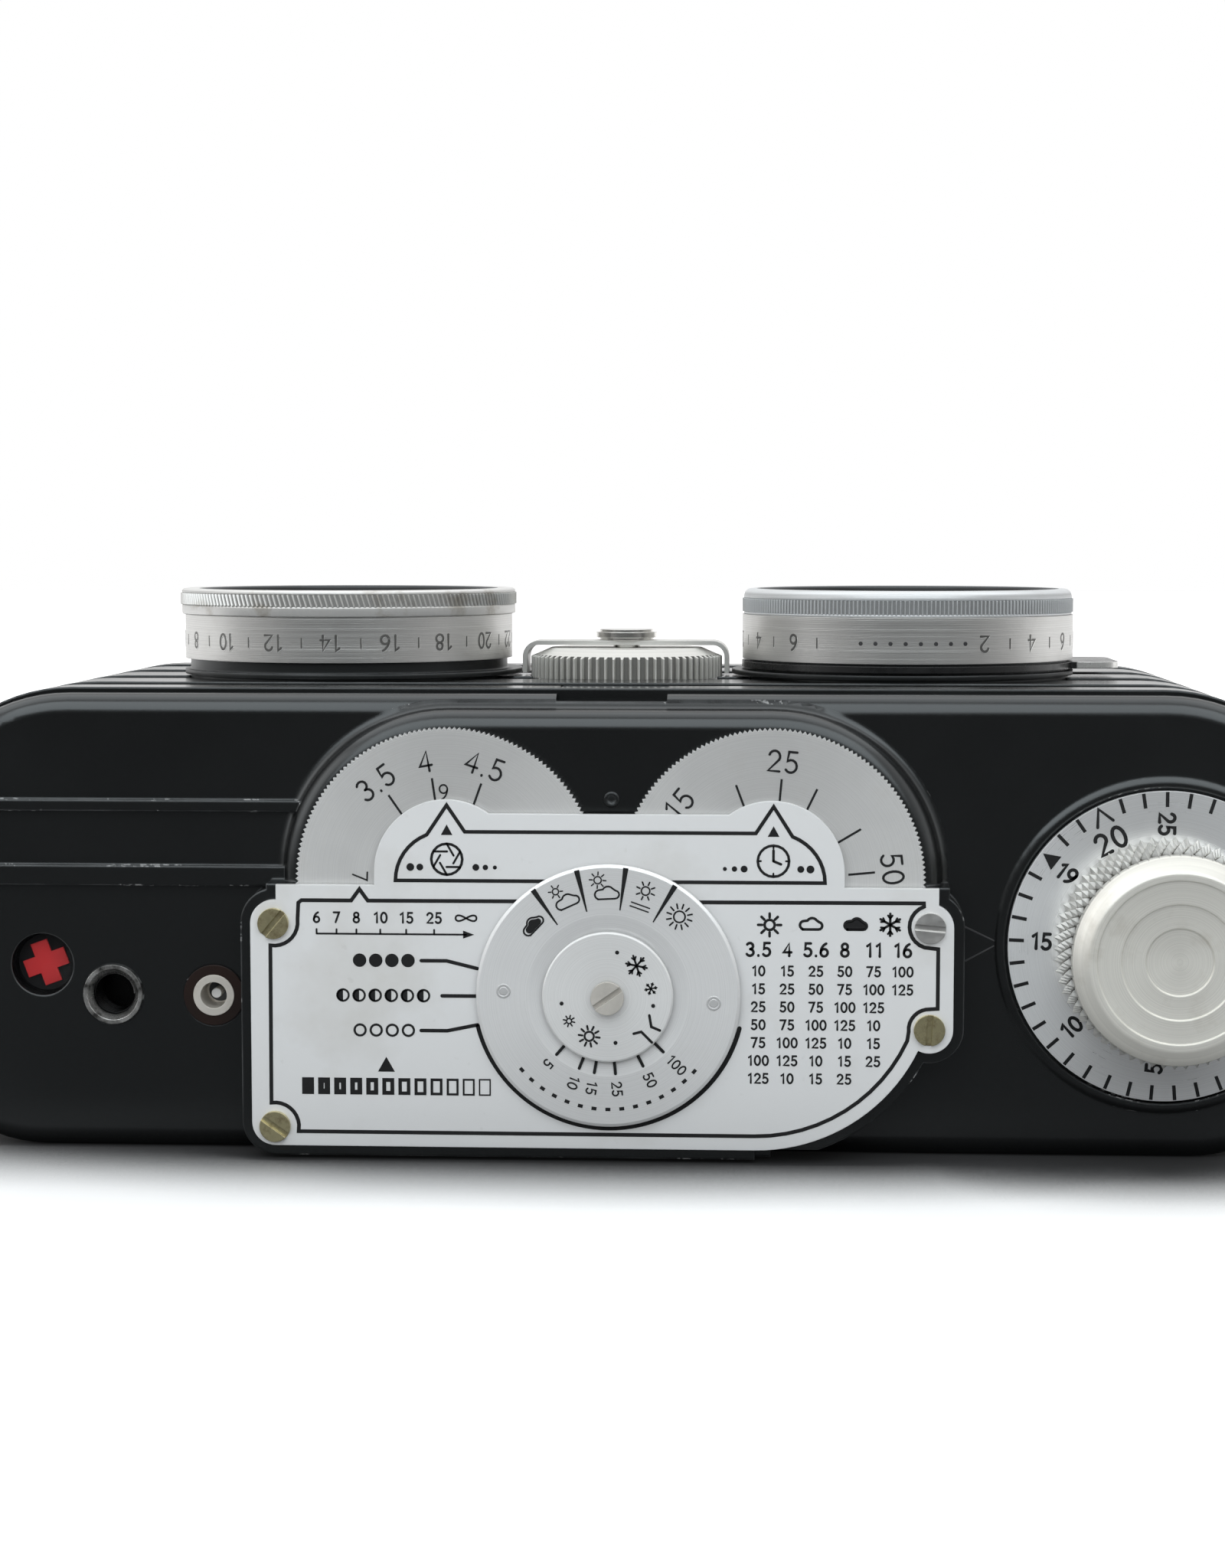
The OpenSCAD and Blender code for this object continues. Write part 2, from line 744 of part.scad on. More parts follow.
module base_cover() color(enamel) difference() {
    translate([0, base_y - cover_t, 0]) mirror([0, 1, 0]) rotate([90, 0, 0]) cover_blank();
    post(0, tripod_z, tripod_r, body_h - far, body_h + 1);
    for (s = [-1, 1], z = [base_screw_low, base_screw_high]) {
        post(s * base_screw_x, z, base_screw_r / 2, body_h - cover_t - 1, body_h + 1);
        post(s * base_screw_x, z, base_screw_r, body_h - screw_head_t - 0.2, body_h + 1);
    }
}

module front_cover() color(enamel) difference() {
    slice(door_high, door_low) difference() {
        outline(side_inset, front_proud);
        outline(side_inset + front_t, front_proud);
        translate([-far, split_z + gap - far]) square([2 * far, far]);
    }
    rib_grooves();
    for (s = [-1, 1]) at_lens(s) cylinder(r = tube_r, h = far, $fn = 128);
    translate([0, lens_y, 0]) cylinder(r = wheel_shaft_r + run, h = far);
    translate([0, lens_y, front_z - pocket_depth]) cylinder(r = wheel_r + gap, h = far);
    span([-finder_x, top_y + finder_high, 0], [finder_x, top_y + finder_low, far]);
}

module exposure_plate() color(satin) difference() {
    slice(-plate_top, -plate_bottom) union() {
        plate_plan();
        tongue_plan();
    }
    post(0, disc_z, 1, -far, 0);
    for (p = screw_places) post(p[0], p[1], screw_r / 2, -far, 0);
}

// Slotted screws that hold the plate
module plate_screws() color(brass) for (i = [0 : 3]) {
    p = screw_places[i];
    difference() {
        union() {
            post(p[0], p[1], screw_r, -plate_top - 0.45, -plate_top);
            post(p[0], p[1], screw_r / 2, -plate_top, 0);
        }
        face(-plate_top - 0.1) translate([p[0], p[1], 0]) rotate([0, 0, screw_turns[i]])
            translate([-far / 2, -0.28, 0]) cube([far, 0.56, 1]);
    }
}

module calculator_screw() color(nickel) difference() {
    union() {
        post(0, disc_z, 1, -season_top - gap, 1);
        post(0, disc_z, pivot_head_r, -season_top - gap - 0.6, -season_top - gap);
    }
    face(-season_top - gap - 0.15) translate([0, disc_z, 0]) rotate([0, 0, 35])
        translate([-5, -0.25, 0]) cube([10, 0.5, 1]);
}

module indicator_window() color(glass_tint) post(-supply_x, supply_z, window_r, 0.2, 1.2);

module cable_release_bush() color(steel) difference() {
    post(cable_x, cable_z, cable_r, -0.35, bay_floor);
    post(cable_x, cable_z, cable_bore_r, -1, bay_floor - 0.7);
    turned(cable_x, cable_z) polygon([[0, 1], [cable_r, 1], [cable_bore_r, -0.4], [0, -0.4]]);
}

module flash_insulator() color("#4a2c25") difference() {
    post(flash_x, flash_z, flash_r, -0.2, bay_floor);
    post(flash_x, flash_z, flash_r - 1, -1, bay_floor + 1);
}

module flash_ring() color("#cfc6b4") difference() {
    post(flash_x, flash_z, flash_r - 1, -0.3, bay_floor);
    post(flash_x, flash_z, flash_r - 1.75, -1, bay_floor - 2.2);
    post(flash_x, flash_z, 0.5, -1, bay_floor + 1);
}

module flash_pin() color(steel) post(flash_x, flash_z, 0.5, 1.2, bay_floor);

// Black tube with its floor, where a slot lets the lens cell shift
module lens_tube(side) color(enamel) difference() {
    union() {
        lens_pipe(side, tube_r, ring_in, front_in, cap_z);
        tube_flange(side);
        at_lens(side) translate([0, 0, front_in]) cylinder(r = tube_r - 0.5, h = tube_floor);
    }
    at_lens(side) {
        for (s = [-1, 1]) translate([0, s * lens_travel / 2, front_in - 1]) cylinder(r = slot_half, h = 9);
        span([-slot_half, -lens_travel / 2, front_in - 1], [slot_half, lens_travel / 2, front_in + 8]);
    }
}

// Flange of a tube on the front cover, with a low lobe towards the wheel
module tube_flange(side) at_lens(side) translate([0, 0, front_z]) difference() {
    for (shift = [0, -side * flange_lobe]) translate([shift, 0, 0])
        cylinder(r = flange_r, h = flange_t, $fn = 128);
    cylinder(r = tube_r - 0.5, h = far, center = true, $fn = 128);
}

module lens_ring(side) color(nickel) lens_pipe(side, ring_r, tube_r, ring_z, cap_z);

// Knurled ring that holds a filter, with a rounded rim
module retaining_ring(side, r) color(nickel) difference() {
    union() {
        lens_pipe(side, r - 0.3, ring_in, cap_z, cap_z + 1.1);
        at_lens(side) translate([0, 0, cap_z + 1]) difference() {
            linear_extrude(cap_h - 1.6) toothed(r, 0.25, 96);
            cylinder(r = ring_in, h = far, center = true, $fn = 128);
        }
        at_lens(side) rotate_extrude($fn = 128) translate([r - 0.8, cap_z + cap_h - 0.6]) intersection() {
            circle(0.6);
            translate([-1, 0]) square(2);
        }
        lens_pipe(side, r - 0.8, ring_in, cap_z + cap_h - 0.7, cap_z + cap_h);
    }
    at_lens(side) translate([0, 0, cap_z - 1]) cylinder(r = ring_in, h = far, $fn = 128);
}

// Strap over the thumbwheel, bent down at both ends
module wheel_bridge() color(nickel) difference() {
    translate([0, lens_y + strap_w / 2, 0]) rotate([90, 0, 0]) linear_extrude(strap_w) difference() {
        strap_plan(0);
        strap_plan(strap_t);
    }
    translate([0, lens_y, 0]) cylinder(r = 1.5, h = far);
}

module strap_plan(inset) {
    round_r = 1.8 - inset;
    w = strap_half - inset;
    high = strap_low + strap_t - inset;
    for (s = [-1, 1]) translate([s * (w - round_r), high - round_r]) circle(round_r);
    translate([round_r - w, high - 2 * round_r]) square([2 * (w - round_r), 2 * round_r]);
    translate([-w, front_z - (inset > 0 ? 1 : 0)])
        square([2 * w, high - round_r - front_z + (inset > 0 ? 1 : 0)]);
}

// Cap on the strap, with the wheel's upper bearing pin
module bridge_cap() color(nickel) translate([0, lens_y, 0]) rotate_extrude() {
    translate([0, strap_low + strap_t]) square([cap_r - 0.4, 1.2]);
    translate([0, strap_low + strap_t + 0.3]) square([cap_r, 0.6]);
    translate([0, wheel_top - 1.2]) square([1.5, strap_low + strap_t - wheel_top + 1.3]);
}

module guide_rods() color(steel) for (s = [-1, 1])
    translate([s * rod_x, lens_y - chamber_half_y - rod_seat, rod_z]) rotate([-90, 0, 0])
        cylinder(r = rod_r, h = 2 * (chamber_half_y + rod_seat));

module finder_front_lens() color(glass_tint)
    span([-finder_x, top_y + finder_high, front_in + 0.3], [finder_x, top_y + finder_low, front_z - 0.5]);

module finder_tube() color("#303234") difference() {
    span([-finder_x, top_y + finder_high, door_in + 2 * gap], [finder_x, top_y + finder_low, front_in]);
    span([finder_wall - finder_x, top_y + finder_high + finder_wall, -1],
         [finder_x - finder_wall, top_y + finder_low - finder_wall, far]);
}

module hinge_pin() color(steel) post(hinge_x, hinge_z, hinge_pin_r, cover_t, body_h - cover_t);

module tripod_bush() color(brass) difference() {
    post(0, tripod_z, tripod_r, body_h - tripod_len, body_h);
    post(0, tripod_z, tripod_bore_r, body_h - tripod_len + 1, body_h + 1);
}

module base_screws() color(steel) for (s = [-1, 1], z = [base_screw_low, base_screw_high]) difference() {
    union() {
        post(s * base_screw_x, z, base_screw_r, body_h - screw_head_t - 0.2, body_h - 0.2);
        post(s * base_screw_x, z, base_screw_r / 2, body_h - base_screw_len, body_h - screw_head_t - 0.2);
    }
    span([s * base_screw_x - base_screw_r - 1, base_y - 0.7, z - 0.25],
         [s * base_screw_x + base_screw_r + 1, base_y + 1, z + 0.25]);
}

module idler_pin() color(steel) post(idler_x, knob_z, idler_pin_r, cover_t, bay_floor + 1);

// Toothed dial with its shaft through the cover
module dial(side) color(satin) {
    face(-dial_low) translate([side * dial_x, dial_z, 0]) linear_extrude(dial_t)
        toothed(dial_r, 0.3, dial_teeth);
    post(side * dial_x, dial_z, dial_shaft_r, -dial_low - 0.1, cover_t + gap + 1.2);
}

module lens_opening_dial() dial(-1);

module shutter_speed_dial() dial(1);

// Cam on the inner end of a dial's shaft
module dial_cam(side) color(brass) difference() {
    slice(cover_t + gap, cover_t + gap + 1.2) {
        translate([side * dial_x, dial_z]) circle(cam_r);
        translate([side * dial_x + cam_throw, dial_z]) circle(cam_r);
    }
    post(side * dial_x, dial_z, dial_shaft_r, 0, far);
}

module lens_opening_cam() dial_cam(-1);

module shutter_speed_cam() dial_cam(1);

// Outer disc, dished round the inner disc
module calculator_disc() color(satin) turned(0, disc_z) difference() {
    polygon([[1 + run, disc_low], [disc_r, disc_low], [disc_r, disc_top - 0.15],
             [disc_r - 0.3, disc_top], [season_r + 1.6, disc_top], [season_r, disc_top - 0.2],
             [1 + run, disc_top - 0.2]]);
}

module season_disc() color(satin) turned(0, disc_z)
    polygon([[1 + run, season_low], [season_r, season_low], [season_r, season_top - 0.15],
             [season_r - 0.15, season_top], [1 + run, season_top]]);

// Numbered disc of the counter with its sleeve
module counter_dial() color(satin) turned(knob_x, knob_z) {
    translate([knob_shaft_r + run, counter_proud - counter_t])
        square([counter_r - knob_shaft_r - run, counter_t]);
    translate([knob_shaft_r + run, -upper_gear - gear_t])
        square([sleeve_wall, upper_gear + gear_t + counter_proud - 0.1]);
}

module counter_gear() color(brass) difference() {
    slice(upper_gear, upper_gear + gear_t) translate([knob_x, knob_z]) train_gear(counter_teeth);
    post(knob_x, knob_z, sleeve_r, 0, far);
}

// Knurled knob, bevelled above, its top dished in round steps
module film_knob() color(nickel) {
    low = counter_proud + gap + 0.1;
    knurl_top = knob_proud - 2;
    intersection() {
        face(-low) translate([knob_x, knob_z, 0]) linear_extrude(knob_proud)
            toothed(knob_r, 0.45, knob_ridges);
        turned(knob_x, knob_z)
            polygon([[0, low], [knob_r + 0.2, low], [knob_r + 0.2, knurl_top],
                     [knob_top_r, knob_proud - 0.3], [knob_top_r - 0.5, knob_proud],
                     [knob_top_r * 0.83, knob_proud], [knob_top_r * 0.83, knob_proud - knob_step],
                     [knob_top_r * 0.59, knob_proud - knob_step],
                     [knob_top_r * 0.59, knob_proud - 2 * knob_step],
                     [knob_top_r * 0.345, knob_proud - 2 * knob_step],
                     [knob_top_r * 0.345, knob_proud - 3 * knob_step],
                     [0, knob_proud - 3 * knob_step]]);
    }
}

// Stepped shaft from the knob to the take-up spool, with the first pinion
module knob_shaft() color(steel) {
    post(knob_x, knob_z, knob_shaft_r, -counter_proud - gap - 0.1, upper_gear + gear_t + 0.1);
    post(knob_x, knob_z, axle_r, 0, well_low + 1);
    slice(lower_gear, lower_gear + gear_t) translate([knob_x, knob_z]) train_gear(first_teeth);
}

module take_up_spool() color("#2c2d2f") difference() {
    turned(knob_x, knob_z) {
        spool_low = gap + 0.2;
        translate([axle_r, -well_low + spool_low]) square([well_r - 0.9 - axle_r, 1.2]);
        translate([axle_r, -well_top - spool_low - 1.2]) square([well_r - 0.9 - axle_r, 1.2]);
        translate([axle_r, -well_low + spool_low]) square([4, well_h - 2 * spool_low]);
    }
    slice(lens_depth - 6, lens_depth + 6) translate([knob_x, knob_z - 0.8]) square([far, 1.6]);
}

// Double gear between the knob's pinion and the counter's gear
module idler_gear() color(brass) difference() {
    union() {
        slice(lower_gear, lower_gear + gear_t) translate([idler_x, knob_z]) rotate(180 / idler_teeth)
            train_gear(idler_teeth);
        slice(upper_gear, lower_gear + 0.1) translate([idler_x, knob_z]) rotate(180 / second_teeth)
            train_gear(second_teeth);
    }
    post(idler_x, knob_z, idler_pin_r + run, 0, far);
}

// Fork that turns the supply cassette's spool, with its head under the window
module supply_spindle() color(steel) difference() {
    union() {
        post(-supply_x, supply_z, window_r - gap, head_depth, head_depth + head_t);
        post(-supply_x, supply_z, dial_shaft_r, head_depth + head_t - 0.1, well_top + fork_len);
    }
    slice(well_top + fork_len - fork_slot, far) translate([-supply_x - dial_shaft_r - 1, supply_z - 0.6])
        square([2 * dial_shaft_r + 2, 1.2]);
}

module indicator_cross() color("#b8262b") slice(head_depth - 0.3, head_depth)
    translate([-supply_x, supply_z]) rotate(20)
        for (a = [0, 90]) rotate(a) square([4.5, 1.8], center = true);

// Drum with two rings of teeth for the perforations
module sprocket_drum() color(steel) {
    turned(0, sprocket_z) {
        translate([0, -lens_depth - path_half - 1]) square([axle_r, 2 * path_half + 2]);
        translate([0, -lens_depth - path_half + 0.4]) square([3, 2 * path_half - 0.8]);
        for (s = [-1, 1]) translate([0, -lens_depth + s * tooth_row - 2.2]) square([sprocket_r, 4.4]);
    }
    for (s = [-1, 1]) slice(lens_depth + s * tooth_row - 0.9, lens_depth + s * tooth_row + 0.9)
        translate([0, sprocket_z]) rotate(90 / sprocket_teeth)
            gear_outline(sprocket_teeth, sprocket_r, 0.7, 0.5);
}

// Sliding board that carries both lenses, with its rack and guide blocks
module lens_board() color("#2a2b2d") translate([0, board_y, 0]) difference() {
    union() {
        span([-board_half_x, -board_half_y, board_z], [board_half_x, board_half_y, board_z + board_t]);
        for (s = [-1, 1]) translate([s * rod_x, 0, 0])
            span([-guide_w, -guide_len, board_z], [guide_w, guide_len, rod_z + guide_w]);
        translate([0, 0, board_z + 0.1]) linear_extrude(board_t + pinion_t + 0.4) rack_plan();
    }
    for (s = [-1, 1]) {
        translate([s * lens_x, 0, 0]) cylinder(r = cell_r, h = far);
        translate([s * rod_x, -far, rod_z]) rotate([-90, 0, 0]) cylinder(r = rod_r + run, h = 2 * far);
    }
}

// Rack beside the pinion, with a space facing it at rest
module rack_plan() {
    first = lens_travel / 2 - lens_travel - 2 * rack_pitch;
    last = lens_travel / 2 + rack_pitch;
    translate([pinion_r + tooth_deep, first]) square([3, last - first]);
    for (y = [first + rack_pitch / 2 : rack_pitch : last])
        polygon([[pinion_r + tooth_deep + 0.1, y - 0.23 * rack_pitch],
                 [pinion_r - tooth_high, y - 0.1 * rack_pitch],
                 [pinion_r - tooth_high, y + 0.1 * rack_pitch],
                 [pinion_r + tooth_deep + 0.1, y + 0.23 * rack_pitch]]);
}

// Barrel of one lens, held in the board by its flange
module lens_cell(side) color("#1f2021") translate([side * lens_x, board_y, 0]) rotate_extrude() difference() {
    union() {
        translate([glass_r, cell_low]) square([cell_r - glass_r, front_in - cell_low + 0.6]);
        translate([glass_r, board_z + board_t]) square([cell_r + 1.2 - glass_r, 1.2]);
    }
    polygon([[0, front_in], [glass_r, front_in], [cell_r - 0.3, front_in + 1], [0, front_in + 1]]);
}

module lens_cell_left() lens_cell(-1);

module lens_cell_right() lens_cell(1);

// Front and rear elements of one lens
module lens_glass(side) color(glass_tint) translate([side * lens_x, board_y, 0]) {
    rotate_extrude() {
        lens_section(front_in - 2.6);
        lens_section(cell_low + 0.6);
    }
}

// Section of an element: flat behind and domed in front
module lens_section(z) {
    dome_r = 9;
    rise = dome_r - sqrt(dome_r * dome_r - glass_r * glass_r);
    square_h = 0.8;
    translate([0, z]) square([glass_r, square_h]);
    intersection() {
        translate([0, z + square_h + rise - dome_r]) circle(dome_r);
        translate([0, z + 0.1]) square([glass_r, far]);
    }
}

module lens_glass_left() lens_glass(-1);

module lens_glass_right() lens_glass(1);

// Fluted wheel under the strap; the flutes run out in the bevel above
module thumbwheel() color(nickel) translate([0, lens_y, wheel_low]) difference() {
    intersection() {
        linear_extrude(wheel_rim_h + wheel_bevel_h)
            gear_outline(wheel_flutes, wheel_r - flute_depth, flute_depth, 0);
        rotate_extrude($fn = 128)
            polygon([[0, 0], [wheel_r + 0.1, 0], [wheel_r + 0.1, wheel_rim_h - 0.3],
                     [wheel_r - 2.2, wheel_rim_h + wheel_bevel_h], [0, wheel_rim_h + wheel_bevel_h]]);
    }
    translate([0, 0, wheel_rim_h + wheel_bevel_h - 1.3]) cylinder(r = 1.5 + run, h = far);
}

// Shaft of the thumbwheel with the pinion that drives the lens board
module wheel_pinion() color(brass) translate([0, lens_y, 0]) {
    translate([0, 0, pinion_z]) cylinder(r = wheel_shaft_r, h = wheel_low - pinion_z);
    translate([0, 0, pinion_z]) linear_extrude(pinion_t)
        gear_outline(pinion_teeth, pinion_r, tooth_high, tooth_deep);
}

// Finger lever that turns round the right lens tube
module release_lever() color(enamel) at_lens(1) translate([0, 0, front_z + flange_t + 0.25]) difference() {
    lever_t = tube_show - flange_t - 0.5;
    tab_r = 2;
    tab_x = 22.9;
    union() {
        cylinder(r = flange_r, h = lever_t, $fn = 128);
        for (y = [-4.6, 9.4]) translate([tab_x - tab_r, y > 0 ? y - tab_r : y + tab_r, 0])
            cylinder(r = tab_r, h = lever_t);
        span([0, -4.6, 0], [tab_x - tab_r, 9.4, lever_t]);
        span([0, tab_r - 4.6, 0], [tab_x, 9.4 - tab_r, lever_t]);
    }
    translate([0, 0, -1]) cylinder(r = tube_r + run, h = far, $fn = 128);
}

// Shutter plate with a flag behind each lens
module shutter_blade() color("#3a3b3d") translate([0, lens_y, blade_z]) {
    bar_y = chamber_half_y - 0.25;
    for (s = [-1, 1]) translate([s * lens_x, 0, 0])
        span([-blade_half, -board_half_y + gap, 0], [blade_half, bar_y, blade_t]);
    span([-lens_x, bar_y - 4.5, 0], [lens_x, bar_y, blade_t]);
}

// Door with its hinge barrel at the left and its catch at the right
module rear_door() color(enamel) difference() {
    union() {
        slice(door_high, door_low) difference() {
            intersection() {
                outline(side_inset);
                door_zone(door_end_z);
            }
            outline(door_in);
            hinge_circle(barrel_r + gap);
        }
        slice(lens_depth - barrel_len / 2, lens_depth + barrel_len / 2) {
            hinge_circle(barrel_r);
            difference() {
                intersection() {
                    outline(side_inset);
                    door_zone(door_end_z);
                    hinge_circle(barrel_r + 2 * gap);
                }
                outline(door_in);
            }
        }
        slice(lens_depth - catch_half, lens_depth + catch_half) intersection() {
            translate([bolt_x - bolt_r - 0.8, 0]) square([2 * bolt_r + 1.6, bolt_z + bolt_r + 0.8]);
            outline(door_in - 0.2);
        }
    }
    post(hinge_x, hinge_z, hinge_pin_r + run, 0, body_h);
    post(bolt_x, bolt_z, bolt_r + 0.2, lens_depth - far / 8, lens_depth + far / 8);
    translate([0, top_y + eye_depth, -1]) cylinder(r = eye_r, h = door_in + 2);
}

// Two plates that hold the film flat against the gate
module pressure_plates() color(steel) for (s = [-1, 1])
    at_lens(s) span([-plate_half, -film_w / 2, pressure_top - pressure_t],
                    [plate_half, film_w / 2, pressure_top]);

// Bowed leaf springs between the door and the plates
module pressure_springs() color(brass) for (s = [-1, 1], y = [-spring_y, spring_y]) {
    rise = pressure_top - pressure_t - door_in;
    half = plate_half - 2;
    bow_r = (half * half + rise * rise) / (2 * rise);
    translate([s * lens_x, lens_y + y + spring_w / 2, door_in]) rotate([90, 0, 0])
        linear_extrude(spring_w) intersection() {
        translate([0, rise - bow_r]) difference() {
            circle(bow_r, $fn = 128);
            circle(bow_r - spring_t, $fn = 128);
        }
        translate([-half, 0]) square([2 * half, rise]);
    }
}

module eyepiece() color(steel) translate([0, top_y + eye_depth, side_inset]) difference() {
    cylinder(r = eye_r, h = door_t);
    translate([0, 0, -1]) cylinder(r = eye_glass_r, h = door_t + 2);
}

module eyepiece_glass() color(glass_tint)
    translate([0, top_y + eye_depth, side_inset + 0.5]) cylinder(r = eye_glass_r, h = 1);

// Lock of the door: thumb plate outside, arm and bolt inside
module door_lock() color(steel) {
    y0 = top_y + lock_depth;
    y1 = y0 + bolt_len;
    y2 = y1 + arm_w;
    outer = half_w - side_inset;
    translate([bolt_x, y0, bolt_z]) rotate([-90, 0, 0]) cylinder(r = bolt_r, h = bolt_len + 0.5);
    span([bolt_x - bolt_r, y1, bolt_z - bolt_r], [arm_x + arm_t, y2, bolt_z + bolt_r]);
    span([arm_x, y1, bolt_z - bolt_r], [arm_x + arm_t, y2, arm_top]);
    span([arm_x, y1, arm_top - 2], [outer - thumb_t + 0.1, y2, arm_top]);
    span([outer - thumb_t, y1 + arm_w / 2 - thumb_w / 2, thumb_low],
         [outer - 0.5, y1 + arm_w / 2 + thumb_w / 2, thumb_high]);
    for (i = [0 : 3])
        span([outer - 0.6, y1 + arm_w / 2 - thumb_w / 2 + 0.6 + 2 * i, thumb_low],
             [outer, y1 + arm_w / 2 - thumb_w / 2 + 1.4 + 2 * i, thumb_high]);
}

module lens_tube_left() lens_tube(-1);

module lens_tube_right() lens_tube(1);

module lens_ring_left() lens_ring(-1);

module lens_ring_right() lens_ring(1);

module retaining_ring_left() retaining_ring(-1, left_cap_r);

module retaining_ring_right() retaining_ring(1, right_cap_r);

main_body();
gear_plate();
floor_plate();
top_cover();
base_cover();
front_cover();
exposure_plate();
plate_screws();
calculator_screw();
indicator_window();
cable_release_bush();
flash_insulator();
flash_ring();
flash_pin();
lens_tube_left();
lens_tube_right();
lens_ring_left();
lens_ring_right();
retaining_ring_left();
retaining_ring_right();
wheel_bridge();
bridge_cap();
guide_rods();
finder_front_lens();
finder_tube();
hinge_pin();
tripod_bush();
base_screws();
idler_pin();
lens_opening_dial();
lens_opening_cam();
shutter_speed_dial();
shutter_speed_cam();
calculator_disc();
season_disc();
counter_dial();
counter_gear();
film_knob();
knob_shaft();
take_up_spool();
idler_gear();
supply_spindle();
indicator_cross();
sprocket_drum();
lens_board();
lens_cell_left();
lens_cell_right();
lens_glass_left();
lens_glass_right();
thumbwheel();
wheel_pinion();
release_lever();
shutter_blade();
rear_door();
pressure_plates();
pressure_springs();
eyepiece();
eyepiece_glass();
door_lock();
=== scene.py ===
import json
import math
import bpy
import bmesh
from mathutils import Matrix, Vector


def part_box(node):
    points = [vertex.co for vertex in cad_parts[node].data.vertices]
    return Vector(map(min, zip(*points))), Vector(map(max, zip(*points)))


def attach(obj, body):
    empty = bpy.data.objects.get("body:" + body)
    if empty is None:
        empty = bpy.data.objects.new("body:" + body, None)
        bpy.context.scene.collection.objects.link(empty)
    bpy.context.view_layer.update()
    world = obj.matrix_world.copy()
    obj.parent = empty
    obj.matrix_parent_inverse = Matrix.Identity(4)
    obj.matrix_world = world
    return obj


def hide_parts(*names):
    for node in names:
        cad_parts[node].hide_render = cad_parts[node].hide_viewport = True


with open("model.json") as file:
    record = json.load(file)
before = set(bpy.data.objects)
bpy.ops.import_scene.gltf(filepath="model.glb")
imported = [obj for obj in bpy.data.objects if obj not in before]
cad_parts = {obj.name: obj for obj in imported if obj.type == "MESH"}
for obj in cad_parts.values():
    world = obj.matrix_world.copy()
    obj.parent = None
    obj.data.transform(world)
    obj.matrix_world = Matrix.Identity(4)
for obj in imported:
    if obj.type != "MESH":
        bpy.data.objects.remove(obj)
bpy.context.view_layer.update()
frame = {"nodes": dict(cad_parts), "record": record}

scene = bpy.context.scene
scene.view_settings.view_transform = "Standard"
nodes = frame["nodes"]
mm = 0.001

# places in millimetres: x and z on the dial face and the base, x and y for the lens axes
faceSpots = {"leftDial": (-16.2, 28.4), "rightDial": (16.2, 28.4), "calculator": (0, 17.05),
             "counter": (55.5, 21.65), "flash": (-40.6, 15.9), "cable": (-51, 15.9), "tripod": (0, 22)}
lensSpots = {"left": (-31, 5.8), "right": (31, 5.8), "wheel": (0, 5.8)}
coverFace, baseFace = -25.8, 37.4

# camera
shot = {"eye": (15.94, -315.03, 62.48), "yaw": -3.128, "pitch": -4.89, "lens": 66.27, "sensor": 36.0,
        "clip": (0.01, 50)}


def makeCamera():
    lensData = bpy.data.cameras.new("shotCamera")
    lensData.lens = shot["lens"]
    lensData.sensor_width = shot["sensor"]
    lensData.clip_start, lensData.clip_end = shot["clip"]
    camera = bpy.data.objects.new("shotCamera", lensData)
    scene.collection.objects.link(camera)
    yaw, pitch = math.radians(shot["yaw"]), math.radians(shot["pitch"])
    ahead = Vector((math.sin(yaw) * math.cos(pitch), math.cos(yaw) * math.cos(pitch), math.sin(pitch)))
    camera.location = Vector(shot["eye"]) * mm
    camera.rotation_euler = ahead.to_track_quat("-Z", "Y").to_euler()
    scene.camera = camera


makeCamera()
print("camera set")


# node helpers
def put(tree, kind, inputs=None, **settings):
    if not kind.startswith(("Geometry", "NodeGroup")):
        kind = "ShaderNode" + kind
    node = tree.nodes.new(kind)
    for key, value in settings.items():
        setattr(node, key, value)
    for key, value in (inputs or {}).items():
        if isinstance(value, bpy.types.NodeSocket):
            tree.links.new(value, node.inputs[key])
        else:
            node.inputs[key].default_value = value
    return node


def calc(tree, operation, *values):
    return put(tree, "Math", dict(enumerate(values)), operation=operation).outputs[0]


def vec(tree, operation, *values):
    node = put(tree, "VectorMath", dict(enumerate(values)), operation=operation)
    return node.outputs["Value" if operation in ("LENGTH", "DOT_PRODUCT", "DISTANCE") else "Vector"]


def remap(tree, value, low, high, toLow=0.0, toHigh=1.0):
    return put(tree, "MapRange", {"Value": value, "From Min": low, "From Max": high,
                                  "To Min": toLow, "To Max": toHigh}).outputs[0]


def blendColour(tree, factor, first, second):
    return put(tree, "Mix", {0: factor, 6: first, 7: second}, data_type="RGBA").outputs[2]


def grain(tree, place, scale, detail=2.0, rough=0.5):
    return put(tree, "TexNoise", {"Vector": place, "Scale": scale, "Detail": detail,
                                  "Roughness": rough}).outputs[0]


def newFinish(name, **sockets):
    finish = bpy.data.materials.new(name)
    finish.use_nodes = True
    tree = finish.node_tree
    tree.nodes.clear()
    shader = put(tree, "BsdfPrincipled", {key.replace("_", " "): value for key, value in sockets.items()})
    result = put(tree, "OutputMaterial")
    tree.links.new(shader.outputs[0], result.inputs[0])
    place = put(tree, "TexCoord").outputs["Object"]
    return finish, tree, shader, place


def wire(tree, shader, **sockets):
    for key, value in sockets.items():
        tree.links.new(value, shader.inputs[key.replace("_", " ")])


def bumped(tree, height, strength, distance, normal):
    return put(tree, "Bump", {"Height": height, "Strength": strength, "Distance": distance,
                              "Normal": normal}).outputs[0]


def softened(tree, radius=0.0001, samples=4):
    return put(tree, "Bevel", {"Radius": radius}, samples=samples).outputs[0]


def along(tree, vector, label):
    return put(tree, "SeparateXYZ", {0: vector}).outputs[label]


